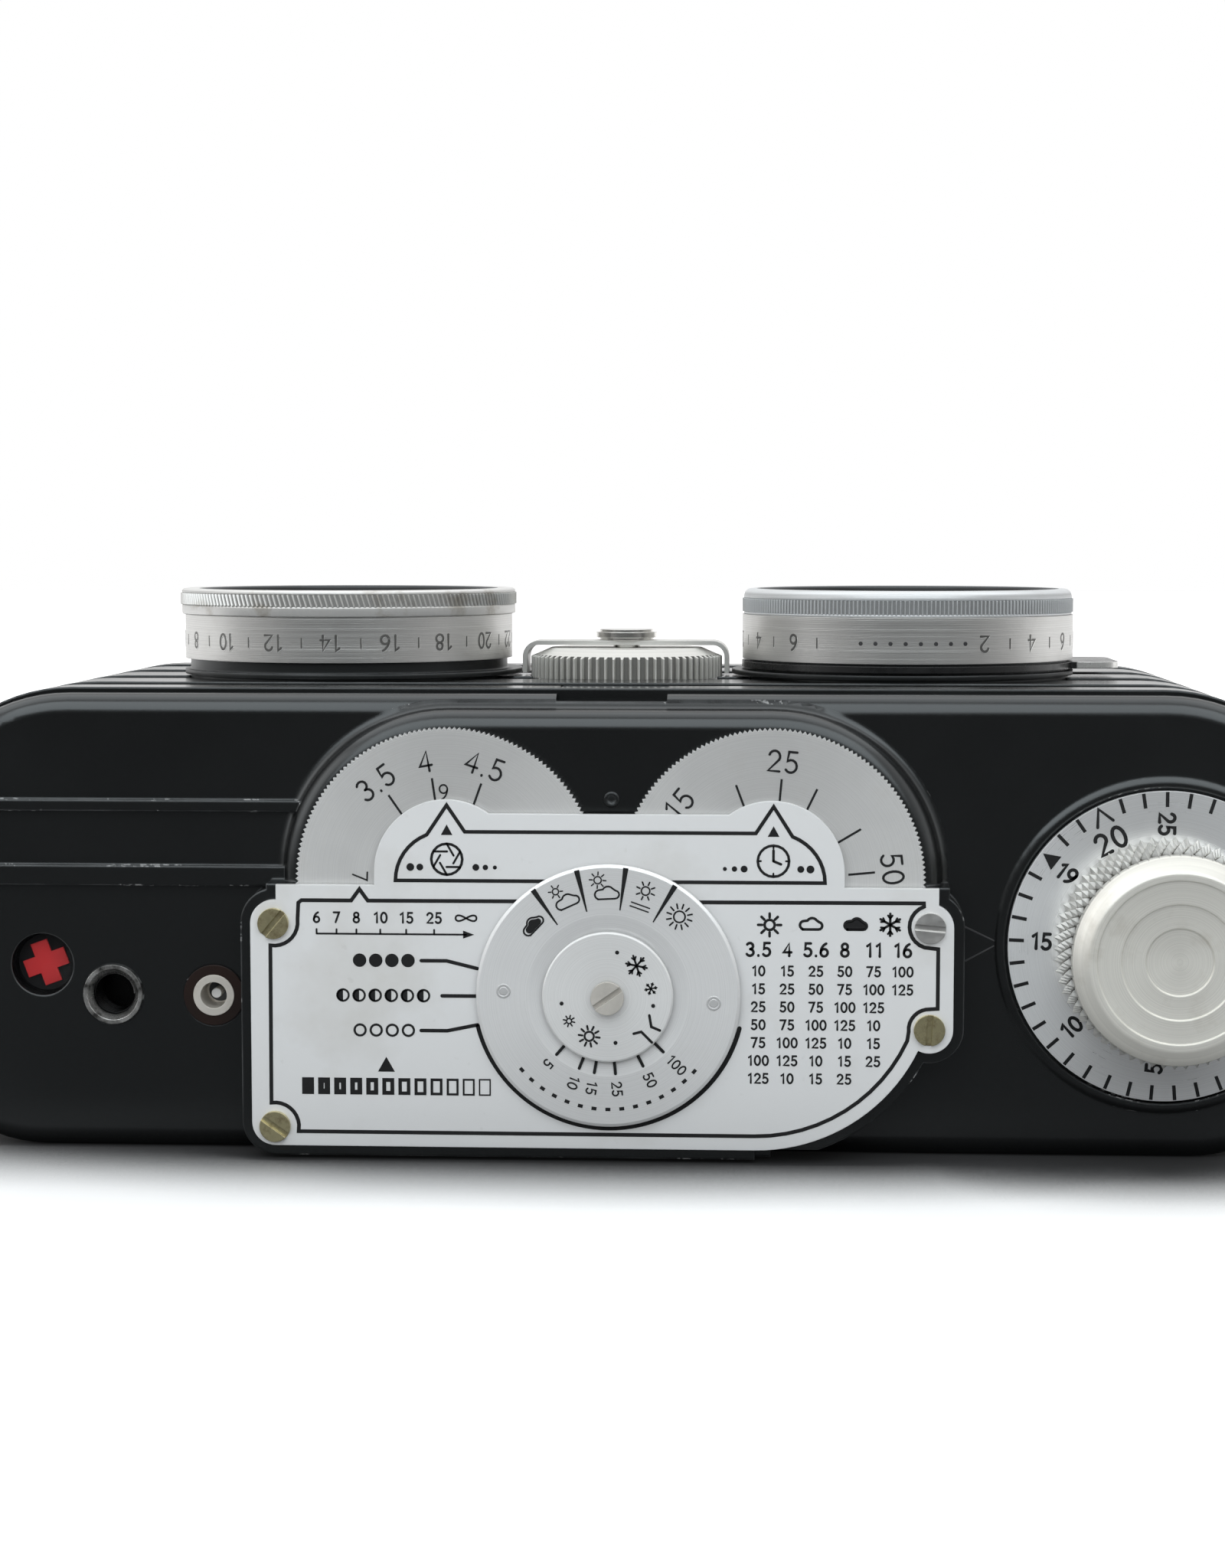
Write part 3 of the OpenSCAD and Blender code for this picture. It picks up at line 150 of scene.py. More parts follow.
def toWorld(tree, vector):
    return put(tree, "VectorTransform", {0: vector}, vector_type="VECTOR", convert_from="OBJECT",
               convert_to="WORLD").outputs[0]


def inMetres(spot):
    return tuple(value * mm for value in spot)


def shaded(colour, share):
    return tuple(share * value for value in colour[:3]) + (1,)


# finishes
enamelLook = {"colour": (0.0044, 0.0046, 0.0046, 1), "glint": (0.93, 0.98, 1.0, 1), "specular": 0.75,
              "gloss": (0.18, 0.27), "crinkle": 0.06, "edge": 0.00034, "edgeTurn": (0.06, 0.22),
              "edgeRubAndHighlight": (0.1, 0.8), "edgeRubAndHighlightColour": (0.15, 0.153, 0.157, 1), "chipColour": (0.6, 0.6, 0.6, 1),
              "dust": 0.02, "dustColour": (0.3, 0.3, 0.31, 1)}


def makeEnamel(name, chipLevel, **changes):
    look = {**enamelLook, **changes}
    finish, tree, shader, place = newFinish(name, Specular_IOR_Level=look["specular"],
                                            Specular_Tint=look["glint"])
    soft = softened(tree, look["edge"], 6)
    flat = put(tree, "NewGeometry").outputs["Normal"]
    turn = calc(tree, "SUBTRACT", 1.0, vec(tree, "DOT_PRODUCT", soft, flat))
    edge = remap(tree, turn, *look["edgeTurn"])
    patch = remap(tree, grain(tree, place, 170, 3, 0.65), chipLevel, chipLevel + 0.03)
    fleck = remap(tree, grain(tree, place, 1500, 2, 0.6), 0.5, 0.58)
    chip = calc(tree, "MULTIPLY", calc(tree, "MULTIPLY", edge, patch), fleck)
    dust = remap(tree, grain(tree, place, 2600, 1), 0.74, 0.8, 0, look["dust"])
    dusty = blendColour(tree, dust, look["colour"], look["dustColour"])
    # edges lighter: partly rubbed wear, partly a painted highlight along rails and rims
    rubAndHighlightMask = remap(tree, grain(tree, place, 130, 4, 0.6), 0.4, 0.7, *look["edgeRubAndHighlight"])
    base = blendColour(tree, calc(tree, "MULTIPLY", edge, rubAndHighlightMask), dusty, look["edgeRubAndHighlightColour"])
    wire(tree, shader, Base_Color=blendColour(tree, chip, base, look["chipColour"]),
         Roughness=remap(tree, grain(tree, place, 60, 3), 0.3, 0.7, *look["gloss"]),
         Normal=bumped(tree, grain(tree, place, 1900, 2), look["crinkle"], 0.00004, soft))
    return finish


satinLook = {"stainColour": (0.42, 0.38, 0.3, 1), "speckColour": (0.3, 0.28, 0.25, 1), "specular": 0.4,
             "edge": 0.00012}


def makeSatin(name, colour, rough, stain, metal):
    finish, tree, shader, place = newFinish(name, Metallic=metal, Specular_IOR_Level=satinLook["specular"])
    cloud = remap(tree, grain(tree, place, 55, 5, 0.6), 0.56, 0.8, 0, stain)
    tint = blendColour(tree, cloud, colour, satinLook["stainColour"])
    speck = remap(tree, grain(tree, place, 900, 2), 0.7, 0.78, 0, 0.3 * stain)
    fine = grain(tree, place, 4200, 2, 0.6)
    wire(tree, shader, Base_Color=blendColour(tree, speck, tint, satinLook["speckColour"]),
         Roughness=remap(tree, fine, 0.25, 0.75, rough - 0.05, rough + 0.06),
         Normal=bumped(tree, fine, 0.08, 0.00003, softened(tree, satinLook["edge"])))
    return finish


spunLook = {"lineScale": 9000.0, "lineShade": 0.45, "grimeColour": (0.3, 0.25, 0.18, 1),
            "shadedBoreColour": (0.07, 0.075, 0.08, 1), "rootShadeColour": (0.03, 0.029, 0.027, 1)}


def makeSpun(name, spindle, colour, rough, sheen, groove, dirt, metal, shadedBore=0.0, root=None, streak=0.16):
    # fine lines round a spindle, given as its centre and axis
    centre, axis = spindle
    finish, tree, shader, place = newFinish(name, Metallic=metal, Anisotropic=sheen)
    arm = vec(tree, "SUBTRACT", place, inMetres(centre))
    across = vec(tree, "SUBTRACT", arm, vec(tree, "MULTIPLY", arm, tuple(abs(value) for value in axis)))
    radius = vec(tree, "LENGTH", across)
    height = vec(tree, "DOT_PRODUCT", arm, axis)
    reach = calc(tree, "ADD", radius, calc(tree, "MULTIPLY", height, 1.7))
    count = calc(tree, "MULTIPLY", reach, spunLook["lineScale"])
    line = put(tree, "TexNoise", {"W": count, "Scale": 1.0, "Detail": 3.0}, noise_dimensions="1D").outputs[0]
    lined = blendColour(tree, remap(tree, line, 0.3, 0.7, 0, streak), colour,
                        shaded(colour, spunLook["lineShade"]))
    wear = grain(tree, place, 220, 4, 0.65)
    tint = blendColour(tree, remap(tree, wear, 0.55, 0.78, 0, dirt), lined, spunLook["grimeColour"])
    # painted shade: faces inside the bore radius are darkened
    if shadedBore:
        paintedShadeInside = remap(tree, radius, shadedBore * mm, (shadedBore + 0.05) * mm, 1, 0)
        tint = blendColour(tree, paintedShadeInside, tint, spunLook["shadedBoreColour"])
    if root:
        # painted shade: darker between the teeth, on the faces along the axis
        low, high, depth = root
        flat = put(tree, "NewGeometry").outputs["Normal"]
        lean = calc(tree, "ABSOLUTE", vec(tree, "DOT_PRODUCT", flat, toWorld(tree, axis)))
        paintedRootShade = remap(tree, radius, low * mm, high * mm, depth, 0)
        between = calc(tree, "MULTIPLY", paintedRootShade, remap(tree, lean, 0.3, 0.6, 1, 0))
        tint = blendColour(tree, between, tint, spunLook["rootShadeColour"])
    wire(tree, shader, Base_Color=tint,
         Roughness=remap(tree, calc(tree, "ADD", line, wear), 0.6, 1.4, rough - 0.04, rough + 0.07),
         Normal=bumped(tree, line, groove, 0.00002, softened(tree)),
         Tangent=toWorld(tree, vec(tree, "CROSS_PRODUCT", axis, arm)))
    return finish


brassLook = {"bright": (0.64, 0.58, 0.35, 1), "dull": (0.34, 0.285, 0.165, 1), "rough": (0.28, 0.46),
             "steel": (0.72, 0.71, 0.69, 1), "steelReach": (0.003, 0.004)}


def makeBrass(name, steelSpot=None):
    # a steel spot replaces one screw of a brass set
    finish, tree, shader, place = newFinish(name, Metallic=0.95)
    fog = grain(tree, place, 900, 4, 0.65)
    colour = blendColour(tree, remap(tree, fog, 0.45, 0.66), brassLook["bright"], brassLook["dull"])
    if steelSpot:
        away = vec(tree, "DISTANCE", place, inMetres(steelSpot))
        near = remap(tree, away, *brassLook["steelReach"], 1, 0)
        colour = blendColour(tree, near, colour, brassLook["steel"])
    drawn = put(tree, "Mapping", {"Vector": place, "Scale": (1, 1, 6)}).outputs[0]
    wire(tree, shader, Base_Color=colour, Roughness=remap(tree, fog, 0.3, 0.7, *brassLook["rough"]),
         Normal=bumped(tree, grain(tree, drawn, 900, 3), 0.15, 0.00003, softened(tree)))
    return finish


def makePlain(name, colour, rough, metal=0.0, mottle=0.3, scale=1800, specular=0.4):
    finish, tree, shader, place = newFinish(name, Metallic=metal, Specular_IOR_Level=specular)
    fog = grain(tree, place, scale / 8, 4)
    wire(tree, shader,
         Base_Color=blendColour(tree, remap(tree, fog, 0.35, 0.7), colour, shaded(colour, 1 - mottle)),
         Roughness=remap(tree, fog, 0.3, 0.7, rough - 0.05, rough + 0.06),
         Normal=bumped(tree, grain(tree, place, scale, 2), 0.1, 0.00003, softened(tree)))
    return finish


def makeGlass(name, colour, film):
    finish, tree, shader, place = newFinish(name, Transmission_Weight=1.0, IOR=1.52,
                                            Thin_Film_Thickness=film, Thin_Film_IOR=1.38)
    haze = grain(tree, place, 120, 3)
    wire(tree, shader,
         Base_Color=blendColour(tree, remap(tree, haze, 0.4, 0.8, 0, 0.3), colour, shaded(colour, 0.92)),
         Roughness=remap(tree, haze, 0.3, 0.8, 0.01, 0.05))
    return finish


socketLook = {"rim": (0.72, 0.71, 0.69, 1), "stain": (0.07, 0.068, 0.065, 1),
              "shadedBore": (0.012, 0.012, 0.012, 1), "level": -25.75, "fade": 0.7}


def makeSocket(name):
    # bright rim; the bore darkens with depth as painted shade
    look = socketLook
    finish, tree, shader, place = newFinish(name, Metallic=0.9)
    fog = grain(tree, place, 700, 4, 0.6)
    rim = blendColour(tree, remap(tree, fog, 0.35, 0.65), look["rim"], look["stain"])
    # painted shade deeper in the bore
    paintedShadeInside = remap(tree, along(tree, place, "Y"), look["level"] * mm, (look["level"] + look["fade"]) * mm)
    wire(tree, shader, Base_Color=blendColour(tree, paintedShadeInside, rim, look["shadedBore"]),
         Roughness=remap(tree, fog, 0.3, 0.7, 0.2, 0.42),
         Normal=bumped(tree, fog, 0.2, 0.00004, softened(tree)))
    return finish


leverLook = {"top": (0.005, 0.0052, 0.0056, 1), "bright": (0.8, 0.79, 0.77, 1), "dull": (0.55, 0.54, 0.52, 1),
             "brightSidesFrom": (0.0492, 0.0494), "metal": 0.7, "edge": 0.00012}


def makeLever(name):
    # bright steel on the side faces past the given x, near black on faces along z
    look = leverLook
    finish, tree, shader, place = newFinish(name, Specular_IOR_Level=0.6)
    fog = grain(tree, place, 600, 4, 0.6)
    lean = along(tree, put(tree, "NewGeometry").outputs["Normal"], "Z")
    side = remap(tree, calc(tree, "ABSOLUTE", lean), 0.4, 0.7, 1, 0)
    bare = calc(tree, "MULTIPLY", side, remap(tree, along(tree, place, "X"), *look["brightSidesFrom"]))
    steel = blendColour(tree, remap(tree, fog, 0.35, 0.7), look["bright"], look["dull"])
    wire(tree, shader, Base_Color=blendColour(tree, bare, look["top"], steel),
         Metallic=calc(tree, "MULTIPLY", bare, look["metal"]),
         Roughness=remap(tree, fog, 0.3, 0.7, 0.22, 0.36),
         Normal=bumped(tree, fog, 0.1, 0.00003, softened(tree, look["edge"])))
    return finish


windowLook = {"clear": (0.006, 0.006, 0.007, 1), "hazy": (0.05, 0.05, 0.05, 1), "alpha": 0.12}


def makeWindow(name):
    finish, tree, shader, place = newFinish(name, Alpha=windowLook["alpha"], IOR=1.49)
    haze = grain(tree, place, 300, 4)
    wire(tree, shader,
         Base_Color=blendColour(tree, remap(tree, haze, 0.45, 0.8), windowLook["clear"], windowLook["hazy"]),
         Roughness=remap(tree, haze, 0.3, 0.8, 0.04, 0.2))
    return finish


def faceSpindle(spot):
    x, z = faceSpots[spot]
    return (x, 0, z), (0, -1, 0)


def lensSpindle(spot):
    x, y = lensSpots[spot]
    return (x, y, 0), (0, 0, 1)


coverEnamel = makeEnamel("coverEnamel", chipLevel=0.57)
bodyEnamel = makeEnamel("bodyEnamel", chipLevel=0.66, gloss=(0.24, 0.34))
ribEnamel = makeEnamel("ribEnamel", chipLevel=0.68, gloss=(0.16, 0.28), crinkle=0.2)
tubeEnamel = makeEnamel("tubeEnamel", chipLevel=0.7, gloss=(0.3, 0.42), specular=0.4)
# one finish for each material slot
finishes = {
    "enamel": bodyEnamel,
    "satin_plate": makeSatin("plateAlloy", (0.79, 0.793, 0.796, 1), rough=0.42, stain=0.3, metal=0.3),
    "nickel": makePlain("dullNickel", (0.62, 0.61, 0.585, 1), rough=0.22, metal=1.0, mottle=0.16, scale=2600),
    "brass": makeBrass("turnedBrass"),
    "steel": makePlain("turnedSteel", (0.56, 0.56, 0.56, 1), rough=0.26, metal=1.0, mottle=0.2, scale=2600),
    "black_plastic": makePlain("blackMoulding", (0.02, 0.02, 0.021, 1), rough=0.5),
    "black_alloy": makePlain("mattBlackAlloy", (0.014, 0.014, 0.015, 1), rough=0.55, scale=2200,
                             specular=0.25),
    "insulator": makePlain("brownMoulding", (0.022, 0.009, 0.006, 1), rough=0.34, mottle=0.5, scale=900),
    "contact": makePlain("contactPlate", (0.68, 0.66, 0.61, 1), rough=0.34, metal=0.6, scale=1500),
    "red_enamel": makePlain("redEnamel", (0.74, 0.032, 0.036, 1), rough=0.42, scale=900),
    "glass": makeGlass("coatedGlass", (0.86, 0.9, 0.95, 1), film=160.0),
}
inkFinish = makePlain("inkBlack", (0.012, 0.012, 0.013, 1), rough=0.5, mottle=0.4, scale=2400, specular=0.3)
graveFinish = makePlain("engravedGrey", (0.05, 0.05, 0.052, 1), rough=0.55, mottle=0.4, scale=2400,
                        specular=0.3)
dialLook = {"colour": (0.75, 0.745, 0.735, 1), "rough": 0.36, "sheen": 0.55, "groove": 0.1, "dirt": 0.1,
            "metal": 0.6}
ringLook = {"colour": (0.7, 0.693, 0.675, 1), "rough": 0.33, "sheen": 0.6, "groove": 0.5, "metal": 0.9,
            "streak": 0.5}
# pieces with a finish of their own
nodeFinishes = {
    "top_cover": coverEnamel, "base_cover": coverEnamel, "front_cover": ribEnamel,
    "lens_tube_left": tubeEnamel, "lens_tube_right": tubeEnamel, "release_lever": makeLever("leverSteel"),
    "lens_opening_dial": makeSpun("leftDialAlloy", faceSpindle("leftDial"), **dialLook),
    "shutter_speed_dial": makeSpun("rightDialAlloy", faceSpindle("rightDial"), **dialLook),
    "calculator_disc": makeSpun("calculatorAlloy", faceSpindle("calculator"), (0.82, 0.82, 0.82, 1),
                                rough=0.36, sheen=0.5, groove=0.08, dirt=0.06, metal=0.45),
    "season_disc": makeSpun("seasonAlloy", faceSpindle("calculator"), (0.82, 0.82, 0.815, 1),
                            rough=0.38, sheen=0.4, groove=0.06, dirt=0.08, metal=0.4),
    "counter_dial": makeSpun("counterAlloy", faceSpindle("counter"), (0.84, 0.845, 0.85, 1),
                             rough=0.3, sheen=0.85, groove=0.1, dirt=0.03, metal=0.62),
    # painted shade between the wheel's teeth
    "thumbwheel": makeSpun("wheelNickel", lensSpindle("wheel"), (0.8, 0.79, 0.75, 1), rough=0.34, sheen=0.2,
                           groove=0.05, dirt=0.12, metal=0.6, root=(10.12, 10.3, 0.7)),
    "lens_ring_left": makeSpun("leftRingNickel", lensSpindle("left"), dirt=0.1, **ringLook),
    "lens_ring_right": makeSpun("rightRingNickel", lensSpindle("right"), dirt=0.08, **ringLook),
    "wheel_bridge": makePlain("strapNickel", (0.76, 0.75, 0.72, 1), rough=0.34, metal=0.75, mottle=0.16,
                              scale=2600),
    "bridge_cap": makePlain("capNickel", (0.68, 0.67, 0.64, 1), rough=0.2, metal=1.0, mottle=0.2, scale=2600),
    "plate_screws": makeBrass("screwBrass", steelSpot=(31.85, -31, 24.0)),
    "indicator_window": makeWindow("indicatorPane"),
    "cable_release_bush": makeSocket("socketSteel"),
    "supply_spindle": makePlain("blackedSteel", (0.01, 0.01, 0.011, 1), rough=0.45, metal=0.3, scale=2200),
    # painted shade inside the ring's bore
    "flash_ring": makeSpun("contactRing", faceSpindle("flash"), (0.74, 0.7, 0.64, 1), rough=0.36, sheen=0.2,
                           groove=0.05, dirt=0.35, metal=0.5, shadedBore=1.12),
    "flash_pin": makePlain("pinSteel", (0.85, 0.85, 0.84, 1), rough=0.35, metal=0.3, mottle=0.1, scale=2600),
    "calculator_screw": makePlain("screwNickel", (0.66, 0.63, 0.58, 1), rough=0.4, metal=0.45, scale=2600),
}
slotOf = {row["node"]: row["material_slot"] for row in frame["record"]["subparts"]}


def dress(item, finish):
    item.data.materials.clear()
    item.data.materials.append(finish)


for nodeName, item in nodes.items():
    dress(item, nodeFinishes.get(nodeName, finishes[slotOf[nodeName]]))
print("finishes:", len(bpy.data.materials))


# flat shapes: 2D lists in millimetres, x right and y up on the face
def arcLine(cx, cy, rx, ry, start, end, steps=14):
    return [(cx + rx * math.cos(math.radians(start + (end - start) * i / steps)),
             cy + ry * math.sin(math.radians(start + (end - start) * i / steps))) for i in range(steps + 1)]


def curveLine(a, b, c, steps=8):
    return [tuple((1 - t) ** 2 * a[k] + 2 * t * (1 - t) * b[k] + t * t * c[k] for k in (0, 1))
            for t in (i / steps for i in range(steps + 1))]


def ring(cx, cy, rx, ry=None, steps=20):
    return arcLine(cx, cy, rx, ry or rx, 0, 360, steps)


figureLines = {
    "0": [ring(0.3, 0.5, 0.27, 0.47)],
    "1": [[(0.13, 0.8), (0.34, 0.97), (0.34, 0.03)]],
    "2": [arcLine(0.3, 0.7, 0.25, 0.27, 165, -28, 10) + [(0.05, 0.03), (0.57, 0.03)]],
    "3": [arcLine(0.28, 0.74, 0.23, 0.23, 150, -85, 9), arcLine(0.28, 0.27, 0.26, 0.25, 85, -150, 10)],
    "4": [[(0.45, 0.03), (0.45, 0.97), (0.04, 0.3), (0.6, 0.3)]],
    "5": [[(0.52, 0.97), (0.15, 0.97), (0.1, 0.53)] + arcLine(0.28, 0.31, 0.27, 0.29, 120, -145, 12)],
    "6": [ring(0.3, 0.29, 0.255, 0.27), curveLine((0.045, 0.3), (0.08, 0.78), (0.44, 0.96))],
    "7": [[(0.04, 0.97), (0.56, 0.97), (0.22, 0.03)]],
    "8": [ring(0.3, 0.745, 0.21, 0.22), ring(0.3, 0.27, 0.26, 0.25)],
    "9": [ring(0.3, 0.71, 0.255, 0.27), curveLine((0.555, 0.7), (0.52, 0.22), (0.16, 0.04))],
    ".": [[(0.1, 0.03), (0.1, 0.06)]],
}
figureWidth = dict.fromkeys("0123456789", 0.6) | {"1": 0.5, ".": 0.2}


def turned(points, cx, cy, angle, scale=1.0):
    c, s = math.cos(math.radians(angle)) * scale, math.sin(math.radians(angle)) * scale
    return [(cx + c * x - s * y, cy + s * x + c * y) for x, y in points]


def figures(text, stroke, size, cx, cy, angle=0.0, gap=0.2):
    wide = sum(figureWidth[ch] + gap for ch in text) - gap
    shapes, at = [], -wide / 2
    for ch in text:
        for line in figureLines[ch]:
            shapes.append(ribbon(turned([(x + at, y - 0.5) for x, y in line], cx, cy, angle, size), stroke))
        at += figureWidth[ch] + gap
    return shapes


def onClock(cx, cy, radius, clock):
    return cx + radius * math.sin(math.radians(clock)), cy + radius * math.cos(math.radians(clock))


def ribbon(points, width):
    # flat strip along a line, as corners and faces; an open line gets round ends
    points = [p for i, p in enumerate(points) if i == 0 or math.dist(p, points[i - 1]) > 1e-4]
    closed = math.dist(points[0], points[-1]) < 1e-3 and len(points) > 3
    if closed:
        points = points[:-1]
    count, half = len(points), width / 2
    corners, faces = [], []
    for i, (x, y) in enumerate(points):
        back = points[i - 1] if i or closed else None
        ahead = points[(i + 1) % count] if i < count - 1 or closed else None
        sides = []
        for a, b in ((back, (x, y)), ((x, y), ahead)):
            if a and b:
                long = math.dist(a, b)
                sides.append((-(b[1] - a[1]) / long, (b[0] - a[0]) / long))
        nx, ny = sum(s[0] for s in sides) / len(sides), sum(s[1] for s in sides) / len(sides)
        grow = half / max(nx * nx + ny * ny, 0.3)
        corners += [(x + nx * grow, y + ny * grow), (x - nx * grow, y - ny * grow)]
    for i in range(count if closed else count - 1):
        j = (i + 1) % count
        faces.append((2 * i + 1, 2 * j + 1, 2 * j, 2 * i))
    if not closed:
        for i, other in ((0, 1), (count - 1, count - 2)):
            x, y = points[i]
            away = math.degrees(math.atan2(y - points[other][1], x - points[other][0]))
            cap = arcLine(x, y, half, half, away - 90, away + 90, 6)[1:-1]
            first = len(corners)
            corners += cap
            start, end = (2 * i, 2 * i + 1) if i == 0 else (2 * i + 1, 2 * i)
            faces.append((start, *range(first, first + len(cap)), end))
    return corners, faces


def solid(points):
    return list(points), [tuple(range(len(points)))]


def washer(cx, cy, outer, inner, steps=24):
    corners = ring(cx, cy, outer, steps=steps)[:-1] + ring(cx, cy, inner, steps=steps)[:-1]
    return corners, [(i, (i + 1) % steps, steps + (i + 1) % steps, steps + i) for i in range(steps)]


def disc(cx, cy, radius, steps=20):
    return solid(ring(cx, cy, radius, steps=steps)[:-1])


def faceAt(x, z, level):
    return Matrix.Translation((x * mm, level, z * mm)) @ Matrix.Rotation(math.radians(90), 4, "X")


def lensAt(spot, z):
    x, y = lensSpots[spot]
    return Matrix.Translation((x * mm, y * mm, z * mm))


def addPiece(name, mesh, body, finish):
    piece = bpy.data.objects.new(name, mesh)
    scene.collection.objects.link(piece)
    dress(piece, finish)
    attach(piece, body)
    return piece


def printMesh(name, shapes, place, thick=0.03, sunk=0.01):
    # every flat shape becomes a thin closed prism
    build = bmesh.new()
    for corners, faces in shapes:
        top = [build.verts.new((x * mm, y * mm, thick * mm)) for x, y in corners]
        low = [build.verts.new((x * mm, y * mm, -sunk * mm)) for x, y in corners]
        uses = {}
        for face in faces:
            edges = [(corners[face[i - 1]], corners[face[i]]) for i in range(len(face))]
            area = sum(a[0] * b[1] - b[0] * a[1] for a, b in edges)
            face = face if area > 0 else face[::-1]
            build.faces.new([top[i] for i in face])
            build.faces.new([low[i] for i in reversed(face)])
            for i in range(len(face)):
                uses[(face[i - 1], face[i])] = True
        for a, b in uses:
            if (b, a) not in uses:
                build.faces.new([top[b], top[a], low[a], low[b]])
    mesh = bpy.data.meshes.new(name)
    build.to_mesh(mesh)
    build.free()
    mesh.transform(place)
    return mesh


def printPiece(name, shapes, place, body, finish, thick=0.03):
    addPiece(name, printMesh(name, shapes, place, thick), body, finish)


def wrapped(mesh, centre, radius, level):
    # bends a flat print round a lens axis, x along the rim and y along the axis
    for vertex in mesh.vertices:
        x, y, lift = vertex.co
        angle = x / (radius * mm) - math.pi / 2
        reach = radius * mm + lift
        vertex.co = (centre[0] * mm + reach * math.cos(angle), centre[1] * mm + reach * math.sin(angle),
                     level * mm + y)
    return mesh


def outer(nodeName):
    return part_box(nodeName)[0].y


# repeated shapes, as node trees
def newTree(name, sockets):
    tree = bpy.data.node_groups.new(name, "GeometryNodeTree")
    tree.interface.new_socket("Mesh", in_out="OUTPUT", socket_type="NodeSocketGeometry")
    for label, kind in sockets:
        tree.interface.new_socket(label, in_out="INPUT", socket_type="NodeSocket" + kind)
    return tree, put(tree, "NodeGroupInput").outputs, put(tree, "NodeGroupOutput")


def endTree(tree, geometry, given, result):
    whole = put(tree, "GeometryNodeRealizeInstances", {0: geometry}).outputs[0]
    tinted = put(tree, "GeometryNodeSetMaterial", {"Geometry": whole, "Material": given["Finish"]}).outputs[0]
    tree.links.new(tinted, result.inputs[0])


# kind, sizes and tilt of the shape that a ring repeats
unitShapes = {
    "block": ("Cube", {"Size": (1, 1, 1)}, 0),
    "ridge": ("Cylinder", {"Vertices": 3, "Radius": 1.0, "Depth": 1.0}, 0),
    "stud": ("Cylinder", {"Vertices": 16, "Radius": 1.0, "Depth": 1.0}, math.pi / 2),
    "pyramid": ("Cone", {"Vertices": 4, "Radius Top": 0.0, "Radius Bottom": 1.0, "Depth": 1.0}, math.pi / 2),
}


def ringTree(name, shape):
    # one shape repeated round an axis; x points outwards
    tree, given, result = newTree(name, [
        ("Count", "Int"), ("Radius", "Float"), ("Low", "Float"), ("Start", "Float"), ("Step", "Float"),
        ("Slant", "Float"), ("Size", "Vector"), ("Finish", "Material")])
    points = put(tree, "GeometryNodeMeshLine", {"Count": given["Count"]}).outputs[0]
    index = put(tree, "GeometryNodeInputIndex").outputs[0]
    turn = calc(tree, "MULTIPLY_ADD", given["Step"], index, given["Start"])
    spot = put(tree, "CombineXYZ", {
        0: calc(tree, "MULTIPLY", given["Radius"], calc(tree, "COSINE", turn)),
        1: calc(tree, "MULTIPLY", given["Radius"], calc(tree, "SINE", turn)),
        2: given["Low"]}).outputs[0]
    moved = put(tree, "GeometryNodeSetPosition", {"Geometry": points, "Position": spot}).outputs[0]
    kind, sizes, tilt = unitShapes[shape]
    unit = put(tree, "GeometryNodeMesh" + kind, sizes).outputs[0]
    laid = put(tree, "GeometryNodeTransform", {"Geometry": unit, "Rotation": (0, tilt, 0)}).outputs[0]
    sized = put(tree, "GeometryNodeTransform", {"Geometry": laid, "Scale": given["Size"]}).outputs[0]
    spin = put(tree, "CombineXYZ", {0: given["Slant"], 2: turn}).outputs[0]
    spread = put(tree, "GeometryNodeInstanceOnPoints", {"Points": moved, "Instance": sized, "Rotation": spin})
    endTree(tree, spread.outputs[0], given, result)
    return tree


def threadTree(name):
    tree, given, result = newTree(name, [("Turns", "Float"), ("Radius", "Float"), ("Length", "Float"),
                                         ("Wire", "Float"), ("Finish", "Material")])
    path = put(tree, "GeometryNodeCurveSpiral", {
        "Resolution": 40, "Rotations": given["Turns"], "Start Radius": given["Radius"],
        "End Radius": given["Radius"], "Height": given["Length"]}).outputs[0]
    section = put(tree, "GeometryNodeCurvePrimitiveCircle", {"Resolution": 6, "Radius": given["Wire"]})
    swept = put(tree, "GeometryNodeCurveToMesh", {"Curve": path, "Profile Curve": section.outputs[0],
                                                  "Fill Caps": True})
    endTree(tree, swept.outputs[0], given, result)
    return tree


trees = {shape: ringTree(shape + "Ring", shape) for shape in unitShapes}
trees["thread"] = threadTree("threadCoil")


def grown(name, kind, place, finish, **values):
    # runs a tree and keeps its result as a plain mesh
    seed = bpy.data.objects.new(name + "Seed", bpy.data.meshes.new(name + "Seed"))
    scene.collection.objects.link(seed)
    rule = seed.modifiers.new("rule", "NODES")
    rule.node_group = trees[kind]
    values["Finish"] = finish
    for socket in trees[kind].interface.items_tree:
        if socket.in_out == "INPUT" and socket.name in values:
            rule[socket.identifier] = values[socket.name]
    bpy.context.view_layer.update()
    mesh = bpy.data.meshes.new_from_object(seed.evaluated_get(bpy.context.evaluated_depsgraph_get()))
    mesh.name = name
    seed.modifiers.remove(rule)
    bpy.data.objects.remove(seed)
    mesh.transform(place)
    return mesh


tickHeight = 0.04


def ticks(name, place, count, inner, far, width, startClock, stepClock=0.0):
    return grown(name, "block", place, inkFinish, Count=count, Radius=(inner + far) / 2 * mm,
                 Start=math.radians(90 - startClock), Step=-math.radians(stepClock),
                 Size=((far - inner) * mm, width * mm, tickHeight * mm))


def joined(name, meshes):
    build = bmesh.new()
    for mesh in meshes:
        build.from_mesh(mesh)
        bpy.data.meshes.remove(mesh)
    whole = bpy.data.meshes.new(name)
    build.to_mesh(whole)
    build.free()
    return whole


print("node trees:", len(trees))

